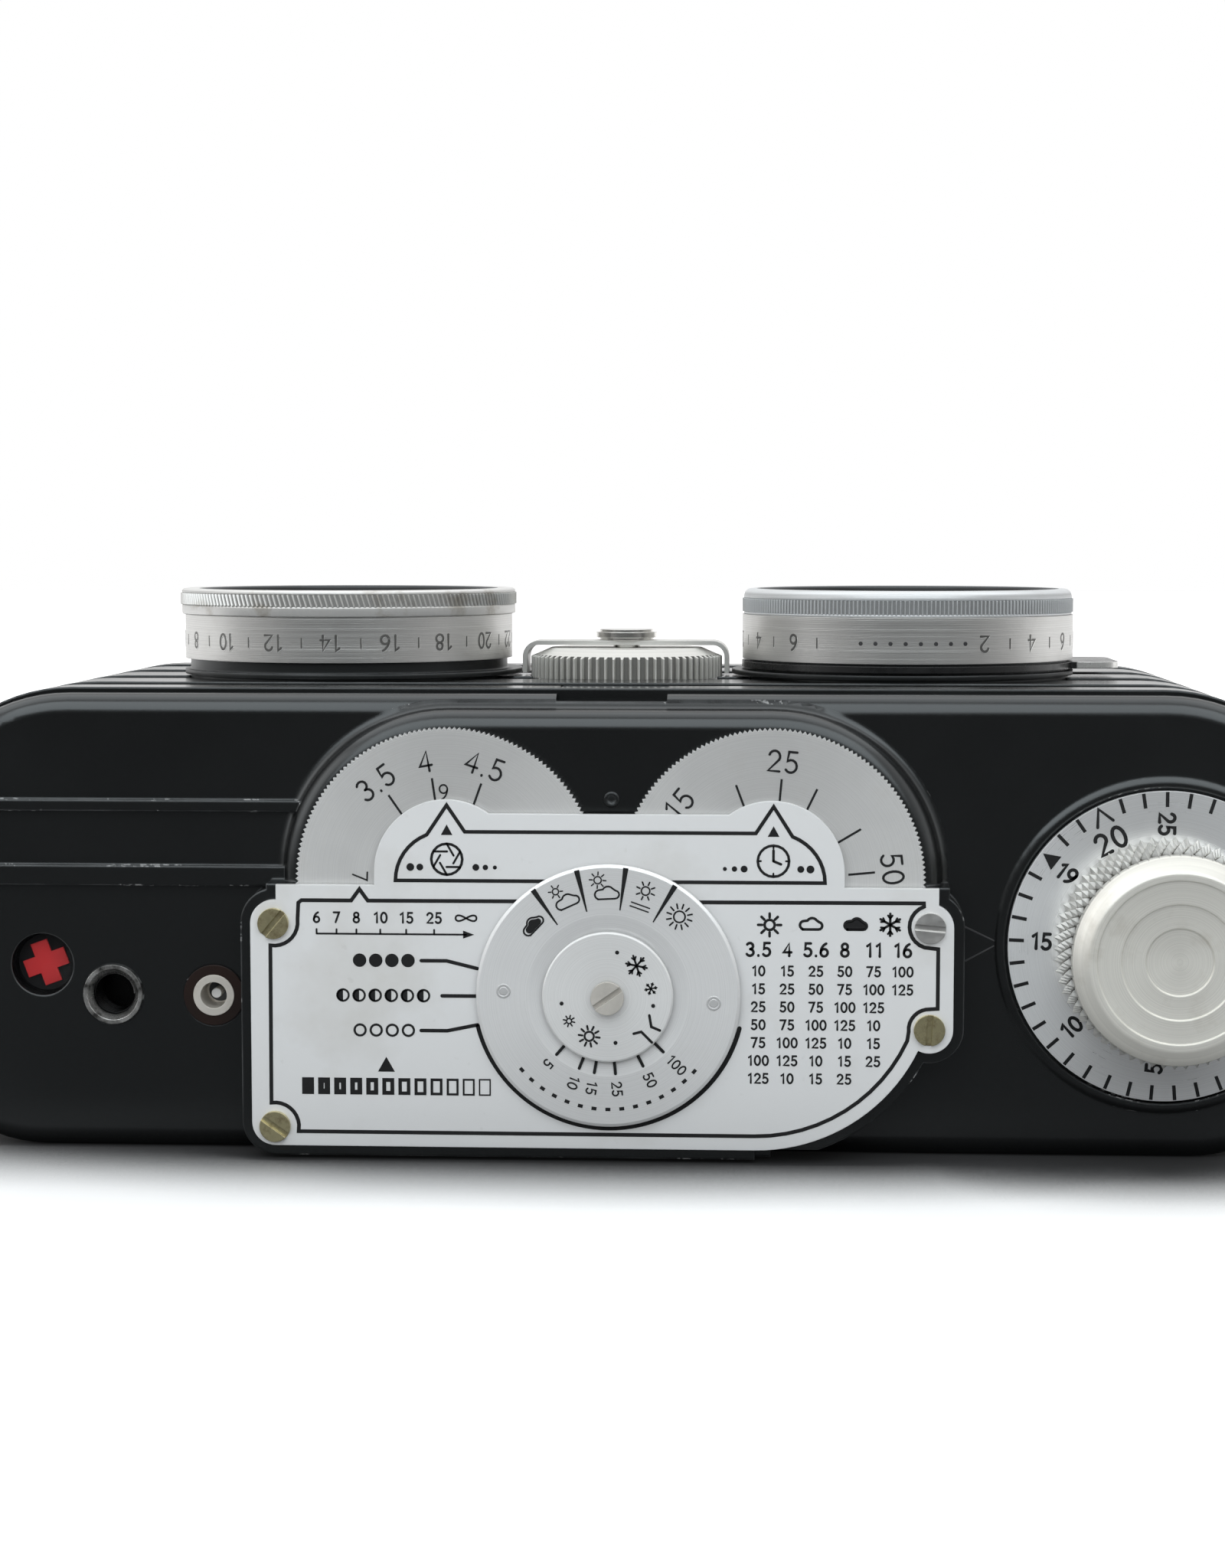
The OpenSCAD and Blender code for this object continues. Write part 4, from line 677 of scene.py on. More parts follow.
# exposure plate print
platePrint = {
    "border": 0.38, "leader": 0.36, "lowerRimArc": 0.45, "lowerRimArcRadius": 13.45, "sign": 0.26, "thin": 0.18,
    "leaders": ([(-18.71, 20.35), (-16.17, 20.35), (-13.1, 19.6)], [(-16.64, 16.82), (-13.1, 16.82)],
                [(-18.75, 13.3), (-16.12, 13.3), (-13.1, 13.92)]),
    "irisX": -16.1, "clockX": 16.35, "signZ": 30.55, "dotZ": 29.75, "pointerZ": 33.5,
    "toneStep": 1.62, "outerTones": -24.9, "halfTones": -26.6, "fullZ": 20.35, "halfZ": 16.82, "openZ": 13.3,
    "boxes": 12, "boxFirst": -30.2, "boxWide": 1.2, "boxLow": 6.75, "boxHigh": 8.45,
    "reaches": (("6", -29.2), ("7", -27.2), ("8", -25.2), ("10", -22.8), ("15", -20.2), ("25", -17.4)),
    "endlessX": -14.2, "reachZ": 24.65, "reachLine": 23.0, "skyZ": 24.2,
    "stops": ("3.5", "4", "5.6", "8", "11", "16"), "stopZ": 21.75,
    "speeds": ("10", "15", "25", "50", "75", "100", "125"), "speedZ": 19.6,
    "firstColumn": 14.9, "columnStep": 2.85, "rowStep": 1.8,
}
tongueBorder = (arcLine(-16.2, 28.4, 5.05, 4.95, 180, 112, 8)
                + [(-16.1, 35.95), (-14.3, 33.3), (14.6, 33.3), (16.35, 35.95)]
                + arcLine(16.3, 28.4, 5.15, 4.95, 68, 0, 8))
mainBorder = ([(-30.7, 26.35), (-25.71, 26.35), (-24.87, 27.5), (-24.04, 26.35), (31.2, 26.45)]
              + arcLine(31.95, 24.1, 2.15, 2.15, 110, 252, 10) + [(32.65, 21.9), (32.65, 15.95)]
              + arcLine(31.85, 13.85, 2.05, 2.05, 100, 186, 7)
              + arcLine(14.6, 19.4, 16.5, 16.45, -24, -90, 12)
              + [(-31.2, 2.95)] + arcLine(-33.55, 3.45, 2.4, 2.4, 4, 99, 8)
              + arcLine(-33.5, 24.15, 2.4, 2.4, -99, 6, 9) + [(-31.02, 26.1)])


def triangle(cx, cy, wide, high):
    return solid([(cx - wide / 2, cy - high / 2), (cx + wide / 2, cy - high / 2), (cx, cy + high / 2)])


def sunSign(cx, cy, size, angle=0.0, rays=8, width=0.16):
    shapes = [ribbon(ring(cx, cy, 0.42 * size), width)]
    for i in range(rays):
        clock = 360 * i / rays + angle
        shapes.append(ribbon([onClock(cx, cy, share * size, clock) for share in (0.62, 0.95)], width))
    return shapes


def cloudLine(cx, cy, size, angle=0.0):
    line = ([(-0.8, -0.4), (0.7, -0.4)] + arcLine(0.7, -0.05, 0.35, 0.35, -90, 80, 6)
            + arcLine(0.1, 0.2, 0.5, 0.48, 35, 150, 7) + arcLine(-0.65, 0.0, 0.4, 0.4, 95, 248, 7))
    return turned(line, cx, cy, angle, size)


def crystalSign(cx, cy, size, angle=0.0, width=0.14):
    shapes = []
    for i in range(3):
        turn = angle + 60 * i
        shapes.append(ribbon([onClock(cx, cy, size, turn), onClock(cx, cy, size, turn + 180)], width))
    for i in range(6):
        tip = onClock(cx, cy, 0.55 * size, angle + 60 * i)
        for side in (-35, 35):
            shapes.append(ribbon([tip, onClock(*tip, 0.35 * size, angle + 60 * i + side)], 0.8 * width))
    return shapes


def irisSign(cx, cy, size, width):
    shapes = [ribbon(ring(cx, cy, size), width)]
    for i in range(6):
        blade = [onClock(cx, cy, size, 60 * i), onClock(cx, cy, 0.5 * size, 60 * i + 62)]
        shapes.append(ribbon(blade, 0.8 * width))
    return shapes


def clockSign(cx, cy, size, width):
    shapes = [ribbon(ring(cx, cy, size), width), ribbon([(cx, cy), (cx, cy + 0.68 * size)], width),
              ribbon([(cx, cy), (cx + 0.48 * size, cy - 0.2 * size)], width)]
    return shapes + [ribbon([onClock(cx, cy, 0.8 * size, a), onClock(cx, cy, 0.92 * size, a)], 0.7 * width)
                     for a in (0, 90, 180, 270)]


def endlessSign(cx, cy, size):
    loop = [(cx + size * math.sin(t), cy + 0.55 * size * math.sin(t) * math.cos(t))
            for t in (2 * math.pi * i / 28 for i in range(28))]
    return [ribbon(loop + loop[:1], 0.18)]


def borderShapes():
    look = platePrint
    shapes = [ribbon(tongueBorder + tongueBorder[:1], look["leader"])]
    shapes.append(ribbon(mainBorder + mainBorder[:1], look["border"]))
    shapes += [ribbon(line, look["leader"]) for line in look["leaders"]]
    # a dark arc along the lower rim of the calculator disc
    reach = look["lowerRimArcRadius"]
    shapes.append(ribbon(arcLine(*faceSpots["calculator"], reach, reach, -14, -166, 48), look["lowerRimArc"]))
    return shapes


def dialSigns():
    # an iris under the openings, a clock under the speeds, each between dots of changing size
    look = platePrint
    shapes = irisSign(look["irisX"], look["signZ"], 1.55, look["sign"])
    shapes += clockSign(look["clockX"], look["signZ"], 1.55, look["sign"])
    for side, cx in ((-1, look["irisX"]), (1, look["clockX"])):
        shapes.append(triangle(cx, look["pointerZ"], 1.15, 1.05))
        for i in range(3):
            shapes.append(disc(cx + side * (-2.9 - 0.95 * i), look["dotZ"], 0.34 - 0.07 * i))
        for i in range(2):
            shapes.append(disc(cx + side * (2.7 + 0.95 * i), look["dotZ"], 0.34 + 0.05 * i))
    return shapes


def toneShapes():
    # rows beside the leaders: full, half and open
    look, shapes = platePrint, []
    for i in range(4):
        x = look["outerTones"] + look["toneStep"] * i
        shapes.append(disc(x, look["fullZ"], 0.68))
        shapes.append(ribbon(ring(x, look["openZ"], 0.56), 0.22))
    for i in range(6):
        x = look["halfTones"] + look["toneStep"] * i
        shapes.append(ribbon(ring(x, look["halfZ"], 0.58), 0.2))
        shapes.append(solid(arcLine(x, look["halfZ"], 0.6, 0.6, 90, 270, 10)))
    return shapes


def stepScale():
    # boxes under a triangle, thick to thin
    look, last = platePrint, platePrint["boxes"] - 1
    shapes = [triangle(-22.28, 9.85, 1.7, 1.5)]
    for i in range(look["boxes"]):
        thick = 0.14 + 0.46 * (last - i) / last
        inset = thick / 2
        x, half = look["boxFirst"] + look["toneStep"] * i, look["boxWide"] / 2
        left, right = x - half + inset, x + half - inset
        low, high = look["boxLow"] + inset, look["boxHigh"] - inset
        shapes.append(ribbon([(left, low), (right, low), (right, high), (left, high), (left, low)], thick))
    return shapes


def reachScale():
    # distances up to endless, over an arrow
    look, shapes = platePrint, []
    z, width = look["reachLine"], look["thin"]
    for text, x in look["reaches"]:
        shapes += figures(text, 0.2, 1.05, x, look["reachZ"])
        shapes.append(ribbon([(x, z), (x, z + 0.45)], width))
    shapes += endlessSign(look["endlessX"], look["reachZ"], 1.05)
    shapes.append(ribbon([(look["reaches"][0][1], z), (look["endlessX"], z)], width))
    shapes.append(solid([(-14.5, z - 0.4), (-13.4, z), (-14.5, z + 0.4)]))
    return shapes


def speedTable():
    # sky signs, then a column of speeds under every stop
    look, z = platePrint, platePrint["skyZ"]
    shapes = sunSign(16.0, z, 1.2, 0, 8, look["sign"]) + [ribbon(cloudLine(20.1, z, 1.05), look["sign"])]
    shapes += [ribbon(cloudLine(24.5, z, 1.05), look["sign"]), solid(cloudLine(24.5, z, 0.95))]
    shapes += crystalSign(27.9, z + 0.1, 1.1, 0, 0.24)
    columns = [look["firstColumn"] + look["columnStep"] * i for i in range(len(look["stops"]))]
    for x, text in zip(columns, look["stops"]):
        shapes += figures(text, 0.26, 1.35, x, look["stopZ"])
    for row in range(len(look["speeds"])):
        for i in range(6 - (row > 1) - (row > 5)):  # the lower rows are shorter
            text = look["speeds"][(row + i) % len(look["speeds"])]
            shapes += figures(text, 0.19, 0.98, columns[i], look["speedZ"] - look["rowStep"] * row)
    return shapes


plateShapes = borderShapes() + dialSigns() + toneShapes() + stepScale() + reachScale() + speedTable()
printPiece("plate_print", plateShapes, faceAt(0, 0, outer("exposure_plate")), "body", inkFinish)
print("plate print done")

# figures on the two dials
dialPrint = {"size": 2.15, "stroke": 0.24, "ring": 12.0, "smallSize": 1.55, "smallStroke": 0.16,
             "smallRing": 8.75, "tickWidth": 0.22, "inner": 7.6, "outer": 10.25}
leftDial = {"spot": "leftDial", "node": "lens_opening_dial",
            "marks": (("3.5", -36.4), ("4", -10.5), ("4.5", 18.5), ("5.6", 82), ("6.3", 108), ("8", 134),
                      ("11", 160), ("16", 190)),
            "small": (("6", -2), ("7", -88), ("9", -140), ("12", 172), ("5", 60)),
            "ticks": (-34.6, -8.2, 19.8, 82, 108, 134, 160, 190)}
rightDial = {"spot": "rightDial", "node": "shutter_speed_dial",
             "marks": (("15", -50.5), ("25", 5), ("50", 83.5), ("75", 122), ("100", 165), ("10", -108)),
             "small": (),
             "ticks": (-108, -50.5, -20.5, 5.2, 25.7, 59, 84.5, 122, 165)}


def dialPiece(name, body, dial):
    look, shapes = dialPrint, []
    face = faceAt(*faceSpots[dial["spot"]], outer(dial["node"]))
    for text, clock in dial["marks"]:
        shapes += figures(text, look["stroke"], look["size"], *onClock(0, 0, look["ring"], clock), -clock)
    for text, clock in dial["small"]:
        x, y = onClock(0, 0, look["smallRing"], clock)
        shapes += figures(text, look["smallStroke"], look["smallSize"], x, y, 180 - clock)
    parts = [printMesh(name + "Figures", shapes, face)]
    for clock in dial["ticks"]:
        parts.append(ticks(name + "Tick", face, 1, look["inner"], look["outer"], look["tickWidth"], clock))
    addPiece(name, joined(name, parts), body, inkFinish)


dialPiece("left_dial_print", "opening_dial", leftDial)
dialPiece("right_dial_print", "speed_dial", rightDial)
print("dial print done")

# exposure calculator: outer disc and season disc
calculatorPrint = {
    "wedges": (-35.1, -13.9, 7.9, 31.0), "wedge": ((-0.27, 12.95), (-0.06, 8.7), (0.06, 8.7), (0.27, 12.95)),
    "speeds": (("5", 221), ("10", 201.5), ("15", 190), ("25", 174.4), ("50", 153.3), ("100", 135)),
    "speedTick": (6.4, 7.8), "speedRing": 9.35, "weather": (-46.5, -24.5, -3, 19.5, 41.5),
    "cloudRing": 10.2, "sunRing": 10.7, "rivets": ((-10.4, 0.45), (10.5, -0.6)),
}


def speedShapes():
    look, shapes = calculatorPrint, []
    for clock in look["wedges"]:
        shapes.append(solid(turned(look["wedge"], 0, 0, -clock)))
    for text, clock in look["speeds"]:
        shapes.append(ribbon([onClock(0, 0, reach, clock) for reach in look["speedTick"]], 0.3))
        x, y = onClock(0, 0, look["speedRing"] + 0.3 * (len(text) - 2), clock)
        shapes += figures(text, 0.16, 1.0, x, y, 90 - clock)
    return shapes


def weatherShapes():
    look, shapes = calculatorPrint, []
    dull, cloudy, hazy, bright, full = look["weather"]
    for clock, drift in ((dull, 0), (cloudy, 1.5), (hazy, 2.5)):
        spot = onClock(0, 0, look["cloudRing"], clock + drift)
        shapes.append(ribbon(cloudLine(*spot, 1.15, -clock), 0.17))
    shapes.append(solid(cloudLine(*onClock(0, 0, look["cloudRing"], dull), 0.9, -dull)))
    for clock, size, rays in ((cloudy, 0.74, 6), (hazy, 0.86, 8)):
        shapes += sunSign(*onClock(0, 0, 11.65, clock - 2), size, -clock, rays, 0.13)
    shapes += sunSign(*onClock(0, 0, 11.2, bright), 1.0, -bright, 8, 0.15)
    for drop in (1.0, 1.4):
        bar = turned([(-0.95, -drop), (0.95, -drop)], *onClock(0, 0, look["sunRing"], bright), -bright)
        shapes.append(ribbon(bar, 0.13))
    return shapes + sunSign(*onClock(0, 0, look["sunRing"], full), 1.35, -full, 12, 0.16)


discFace = faceAt(*faceSpots["calculator"], outer("calculator_disc"))
discParts = [printMesh("discPrint", speedShapes() + weatherShapes(), discFace)]
discParts.append(ticks("discDashes", discFace, 15, 11.2, 11.55, 0.5, startClock=131, stepClock=7.0))
addPiece("calculator_print", joined("calculator_print", discParts), "calculator", inkFinish)
rivets = [washer(*spot, 0.72, 0.5) for spot in calculatorPrint["rivets"]]
rivets += [disc(*spot, 0.42) for spot in calculatorPrint["rivets"]]
rivetFinish = makePlain("rivetAlloy", (0.9, 0.9, 0.9, 1), rough=0.42, metal=0.8, mottle=0.06, scale=2600)
printPiece("calculator_rivets", rivets, discFace, "calculator", rivetFinish, thick=0.05)

# clock, ring, size, rays and width of the season signs
seasonPrint = {"crystals": ((42, 4.3, 1.05, 0.2), (78, 4.4, 0.6, 0.14)),
               "suns": ((205, 4.3, 1.1, 10, 0.2), (238, 4.5, 0.6, 8, 0.14)),
               "twigs": (((2.6, -3.6), (3.35, -3.4), (4.4, -4.45)),
                         ((4.15, -1.75), (4.35, -2.9), (5.2, -3.25))),
               "twigWidth": 0.26, "dots": (12, 100, 170, 262), "dotRing": 4.6, "dotRadius": 0.2}


def seasonShapes():
    look = seasonPrint
    shapes = [ribbon(line, look["twigWidth"]) for line in look["twigs"]]
    for clock, reach, size, width in look["crystals"]:
        shapes += crystalSign(*onClock(0, 0, reach, clock), size, clock, width)
    for clock, reach, size, rays, width in look["suns"]:
        shapes += sunSign(*onClock(0, 0, reach, clock), size, clock, rays, width)
    for clock in look["dots"]:
        shapes.append(disc(*onClock(0, 0, look["dotRing"], clock), look["dotRadius"]))
    return shapes


seasonFace = faceAt(*faceSpots["calculator"], outer("season_disc"))
printPiece("season_print", seasonShapes(), seasonFace, "season", inkFinish)
print("calculator print done")

# counter
counterPrint = {"step": 360 / 41, "outer": 15.55, "inner": 14.05, "tickWidth": 0.35, "ring": 12.35,
                "size": 1.6, "stroke": 0.33, "gap": 0.16, "numbers": (5, 10, 15, 25, 30, 35),
                "nineteen": -53.5, "twenty": -27.5, "mark": ((-0.85, 13.75), (0, 15.4), (0.85, 13.75)),
                "tickRuns": ((-5, 2), (-2, 37)), "index": ((35.65, 23.44), (39.03, 21.84), (35.69, 20.02))}


def counterShapes():
    look, shapes = counterPrint, []
    small = (look["stroke"], look["size"])
    for number in look["numbers"]:
        clock = look["step"] * (number - 25)
        shapes += figures(str(number), *small, *onClock(0, 0, look["ring"], clock), 270 - clock, look["gap"])
    clock = look["nineteen"]
    shapes += figures("19", *small, *onClock(0, 0, 12.3, clock), 270 - clock, look["gap"])
    clock = look["twenty"]
    shapes += figures("20", 0.37, 2.15, *onClock(0, 0, 12.0, clock), -clock, 0.24)
    shapes.append(solid(turned(look["mark"], 0, 0, 6 * look["step"])))
    shapes.append(ribbon(turned(look["mark"], 0, 0, 3 * look["step"]), 0.3))
    return shapes


counterFace = faceAt(*faceSpots["counter"], outer("counter_dial"))
counterParts = [printMesh("counterFigures", counterShapes(), counterFace)]
for first, count in counterPrint["tickRuns"]:
    step = counterPrint["step"]
    counterParts.append(ticks("counterTicks", counterFace, count, counterPrint["inner"],
                              counterPrint["outer"], counterPrint["tickWidth"], first * step, step))
addPiece("counter_print", joined("counter_print", counterParts), "counter", inkFinish)
indexShapes = [ribbon(counterPrint["index"], 0.2)]
printPiece("counter_index", indexShapes, faceAt(0, 0, coverFace * mm), "body", graveFinish, thick=0.015)
print("counter print done")


# turned pieces
def lathe(name, profile, place, steps=160):
    # profile of radius and height in millimetres, closed on itself or ending on the axis
    build = bmesh.new()
    loops = []
    turns = [2 * math.pi * i / steps for i in range(steps)]
    for radius, height in profile:
        reach, level = radius * mm, height * mm
        if radius < 1e-6:
            loops.append([build.verts.new((0, 0, level))])
        else:
            loops.append([build.verts.new((reach * math.cos(turn), reach * math.sin(turn), level))
                          for turn in turns])
    for low, high in zip(loops, loops[1:]):
        for i in range(steps):
            j = (i + 1) % steps
            if len(low) == 1:
                build.faces.new([low[0], high[j], high[i]])
            elif len(high) == 1:
                build.faces.new([low[i], low[j], high[0]])
            else:
                build.faces.new([low[i], low[j], high[j], high[i]])
    bmesh.ops.remove_doubles(build, verts=build.verts, dist=1e-8)
    bmesh.ops.recalc_face_normals(build, faces=build.faces)
    mesh = bpy.data.meshes.new(name)
    build.to_mesh(mesh)
    build.free()
    mesh.transform(place)
    mesh.shade_smooth()
    mesh.set_sharp_from_angle(angle=math.radians(28))
    return mesh


def quarter(cx, cy, radius, start, end, steps=6):
    return arcLine(cx, cy, radius, radius, start, end, steps)


knobLook = {"foot": 10.95, "neck": 10.5, "low": 0.9, "knurlTop": 9.5, "top": 11.6, "columns": 62, "rows": 4,
            "tooth": 0.75, "toothRoot": 0.45, "toothLift": 0.12, "footRound": 0.3, "shoulder": 8.5,
            "shoulderRound": 0.6, "steps": (8.06, 5.72, 3.36), "stepRound": 0.1, "stepDown": 0.2,
            "metal": {"colour": (0.84, 0.82, 0.76, 1), "rough": 0.36, "sheen": 0.4, "groove": 0.12,
                      "dirt": 0.3, "metal": 0.52, "streak": 0.26},
            "knurl": {"colour": (0.84, 0.83, 0.79, 1), "rough": 0.32, "sheen": 0.1, "groove": 0.05,
                      "dirt": 0.1, "metal": 0.7}}


def knobProfile(foot, neck):
    look = knobLook
    low, knurlTop, level = look["low"], look["knurlTop"], look["top"]
    small, bevel = look["stepRound"], look["footRound"]
    profile = [(0, low), (foot - bevel, low)] + quarter(foot - bevel, low + bevel, bevel, -90, 0, 4)
    profile += [(neck, knurlTop), (neck + 0.25, knurlTop + 0.1)]
    profile += quarter(look["neck"] - 0.75, knurlTop + 0.65, 0.55, 0, 45, 5)
    profile += quarter(look["shoulder"], level - look["shoulderRound"], look["shoulderRound"], 48, 90, 5)
    for edge in look["steps"]:
        profile += [(edge + small, level)] + quarter(edge, level - small, small, 90, 180, 3)
        level -= look["stepDown"]
        profile += [(edge - 0.12, level + 0.02), (edge - 0.22, level)]
    return profile + [(0, level)]


def makeKnob():
    look, columns = knobLook, knobLook["columns"]
    foot, neck = look["foot"] - look["toothRoot"], look["neck"] - look["toothRoot"]
    place = faceAt(*faceSpots["counter"], coverFace * mm)
    finish = makeSpun("knobNickel", faceSpindle("counter"), **look["metal"])
    # painted shade between the knurl teeth
    root = (neck - 0.05, neck + 0.5, 0.9)
    knurl = makeSpun("knurlNickel", faceSpindle("counter"), root=root, **look["knurl"])
    mesh = lathe("winding_knob", knobProfile(foot, neck), place)
    knob = addPiece("winding_knob", mesh, "winder", finish)
    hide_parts("film_knob")
    start = look["low"] + look["footRound"]
    pitch = (look["knurlTop"] - look["low"] - look["footRound"]) / look["rows"]
    rows = []
    for i in range(look["rows"]):
        reach = foot + (neck - foot) * (i + 0.5) / look["rows"]
        size = (look["tooth"] * mm, math.pi * reach / columns * mm, pitch * mm)
        rows.append(grown("knurlRow", "pyramid", place, knurl, Count=columns, Size=size,
                          Radius=(reach + look["toothLift"]) * mm, Low=(start + pitch * (i + 0.5)) * mm,
                          Start=math.pi / columns * (i % 2), Step=2 * math.pi / columns))
    addPiece("knob_knurl", joined("knob_knurl", rows), "winder", knurl)


makeKnob()
print("knob done")

capLook = {"low": 54.05, "high": 56.85, "inner": 16.3, "innerRound": 0.3, "ridgeHigh": 0.24,
           "ridgeWide": 0.95, "metal": {"rough": 0.36, "sheen": 0.2, "groove": 0.15, "metal": 0.58},
           "left": {"radius": 18.6, "ridges": 205, "slant": 18, "band": (1.05, 2.35), "rim": 0.35,
                    "colour": (0.8, 0.79, 0.77, 1), "dirt": 0.9},
           "right": {"radius": 18.1, "ridges": 247, "slant": 0, "band": (0.3, 1.75), "rim": 0.85,
                     "colour": (0.74, 0.755, 0.765, 1), "dirt": 0.1}}


def makeCap(side):
    look, high = capLook[side], capLook["high"] - capLook["low"]
    radius, rim = look["radius"], look["rim"]
    inner, bevel = capLook["inner"], capLook["innerRound"]
    low, top = look["band"]
    root, edge = radius - 0.2, radius - 0.1
    profile = [(inner, 0), (radius - 0.35, 0)] + quarter(radius - 0.25, 0.15, 0.15, -90, 0, 3)
    profile += [(edge, max(low - 0.12, 0.2)), (root, low), (root, top), (edge, top + 0.08)]
    profile += quarter(edge - rim, high - rim, rim, 0, 90, 8) + [(inner + bevel, high)]
    profile += quarter(inner + bevel, high - bevel, bevel, 90, 180, 4) + [(inner, 0)]
    place = lensAt(side, capLook["low"])
    # painted shade inside the bore and between the ridges
    finish = makeSpun(side + "CapNickel", lensSpindle(side), look["colour"], dirt=look["dirt"],
                      shadedBore=inner + 0.25, root=(root - 0.03, root + 0.16, 0.66), **capLook["metal"])
    mesh = lathe(side + "_filter_ring", profile, place)
    cap = addPiece(side + "_filter_ring", mesh, "body", finish)
    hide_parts("retaining_ring_" + side)
    wide = math.pi * root / look["ridges"] * capLook["ridgeWide"]
    ridges = grown(side + "_filter_knurl", "ridge", place, finish, Count=look["ridges"], Radius=root * mm,
                   Low=(low + top) / 2 * mm, Step=2 * math.pi / look["ridges"],
                   Slant=math.radians(look["slant"]),
                   Size=(capLook["ridgeHigh"] * mm, wide * mm, (top - low) * mm))
    addPiece(side + "_filter_knurl", ridges, "body", finish)


for side in ("left", "right"):
    makeCap(side)

# scales round the main lens rings; a row is its first clock and its count of marks
ringScale = {"level": 51.3, "reach": 18.15, "size": 1.7, "stroke": 0.26, "tick": 0.16, "step": 10.0,
             "left": ((-118, 24),), "right": ((-84, 6), (24, 22))}
ringDots = {"level": 51.35, "count": 8, "first": -108, "step": 5.0, "radius": 0.22, "high": 0.03}
dots = grown("ring_dots", "stud", lensAt("right", ringDots["level"]), graveFinish, Count=ringDots["count"],
             Radius=ringScale["reach"] * mm, Start=math.radians(ringDots["first"]),
             Step=math.radians(ringDots["step"]),
             Size=(ringDots["high"] * mm, ringDots["radius"] * mm, ringDots["radius"] * mm))
addPiece("ring_dots", dots, "body", graveFinish)


def ringShapes(first, count):
    look, shapes = ringScale, []
    for i in range(count):
        x = math.radians(first + look["step"] * i) * look["reach"]
        if i % 2:
            shapes.append(ribbon([(x, -0.5), (x, 0.5)], look["tick"]))
        else:
            shapes += figures(str(2 + i), look["stroke"], look["size"], x, 0, 180)
    return shapes


ringGrave = makePlain("ringGrave", (0.17, 0.168, 0.16, 1), rough=0.4, metal=0.6, mottle=0.5, scale=2400)
ringGlint = makePlain("ringGlint", (0.9, 0.89, 0.87, 1), rough=0.3, metal=0.8, mottle=0.1, scale=2400)
# a painted highlight along the lower edge of every cut lies just under it: shift, drop and height
ringLayers = {"figures": (0.0, 0.0, 0.02, ringGrave), "glints": (0.05, -0.1, 0.012, ringGlint)}
for side in ("left", "right"):
    marks = [shape for row in ringScale[side] for shape in ringShapes(*row)]
    for part, (shift, drop, high, finish) in ringLayers.items():
        place = Matrix.Translation((shift * mm, drop * mm, 0))
        flat = printMesh(side + "_ring_" + part, marks, place, high, 0.05)
        bent = wrapped(flat, lensSpots[side], ringScale["reach"], ringScale["level"])
        addPiece(flat.name, bent, "body", finish)
print("lens rings done")

# pin in the boss between the dials
pinLook = {"x": 0.2, "z": 36.4, "shank": [(0, -0.3), (0.8, -0.3), (0.8, 0.04)], "round": (0.68, 0.04, 0.12),
           "dimple": [(0.42, 0.1), (0.36, 0.02), (0, 0.02)]}


def levelAt(nodeName, x, z):
    return nodes[nodeName].ray_cast(Vector((x * mm, -1, z * mm)), Vector((0, 1, 0)))[1].y


pinProfile = pinLook["shank"] + quarter(*pinLook["round"], 0, 90, 4) + pinLook["dimple"]
pinPlace = faceAt(pinLook["x"], pinLook["z"], levelAt("top_cover", pinLook["x"], pinLook["z"]))
addPiece("boss_pin", lathe("boss_pin", pinProfile, pinPlace, 32), "body", bodyEnamel)
print("boss pin done")

# threads in the sockets and in the lens tubes
socketThreads = {
    "cable": {"y": coverFace + 0.6, "turns": 8.0, "radius": 2.1, "length": 4.0, "wire": 0.14,
              "slot": "steel"},
    "tripod": {"y": baseFace - 5.4, "turns": 5.0, "radius": 2.98, "length": 5.2, "wire": 0.3,
               "slot": "brass"},
}
tubeThread = {"z": 48.4, "turns": 9.0, "radius": 16.22, "length": 5.4, "wire": 0.2, "slot": "black_alloy"}


def threadPiece(name, place, look, finish):
    mesh = grown(name, "thread", place, finish, Turns=look["turns"], Radius=look["radius"] * mm,
                 Length=look["length"] * mm, Wire=look["wire"] * mm)
    addPiece(name, mesh, "body", finish)


for spot, look in socketThreads.items():
    x, z = faceSpots[spot]
    place = Matrix.Translation((x * mm, look["y"] * mm, z * mm)) @ Matrix.Rotation(math.radians(-90), 4, "X")
    finish = nodeFinishes["cable_release_bush"] if spot == "cable" else finishes[look["slot"]]
    threadPiece(spot + "_thread", place, look, finish)
for side in ("left", "right"):
    place = lensAt(side, tubeThread["z"])
    threadPiece(side + "_tube_thread", place, tubeThread, finishes[tubeThread["slot"]])
print("threads done")

# floor and light
studio = {"floorSize": 6.0, "floorColour": (0.8, 0.8, 0.8, 1), "shadeColour": (0.05, 0.05, 0.052, 1),
          "paintedShadowColour": (0.02, 0.02, 0.021, 1), "contact": 0.021, "paintedShadowRange": (0.55, 0.99, 0.02, 1.0),
          "oval": (0.62, 1.0, 0.0), "fade": (0.042, 0.115, 0.12, 1.0), "dusk": (0.0, -0.05),
          "world": 0.28, "worldTurn": (-0.7, 0.25, 0.09, 1.0)}
lamps = {
    "overheadBox": {"place": (0.0, 0.06, 0.6), "aim": (0, 0, 0), "wide": 1.1, "high": 0.46, "radiance": 0.75,
                    "colour": (0.92, 0.97, 1.0)},
    "frontBox": {"place": (0.0, -0.56, 0.5), "aim": (0, 0, 0.02), "wide": 1.1, "high": 0.66, "radiance": 2.15,
                 "colour": (0.92, 0.975, 1.0)},
    "leftFill": {"place": (-0.75, -0.3, 0.4), "aim": (0, 0, 0.02), "wide": 0.5, "high": 0.5, "radiance": 0.8,
                 "colour": (1, 1, 1)},
}


def mirrorRays(tree, path):
    return calc(tree, "MAXIMUM", path["Is Glossy Ray"], path["Is Transmission Ray"])


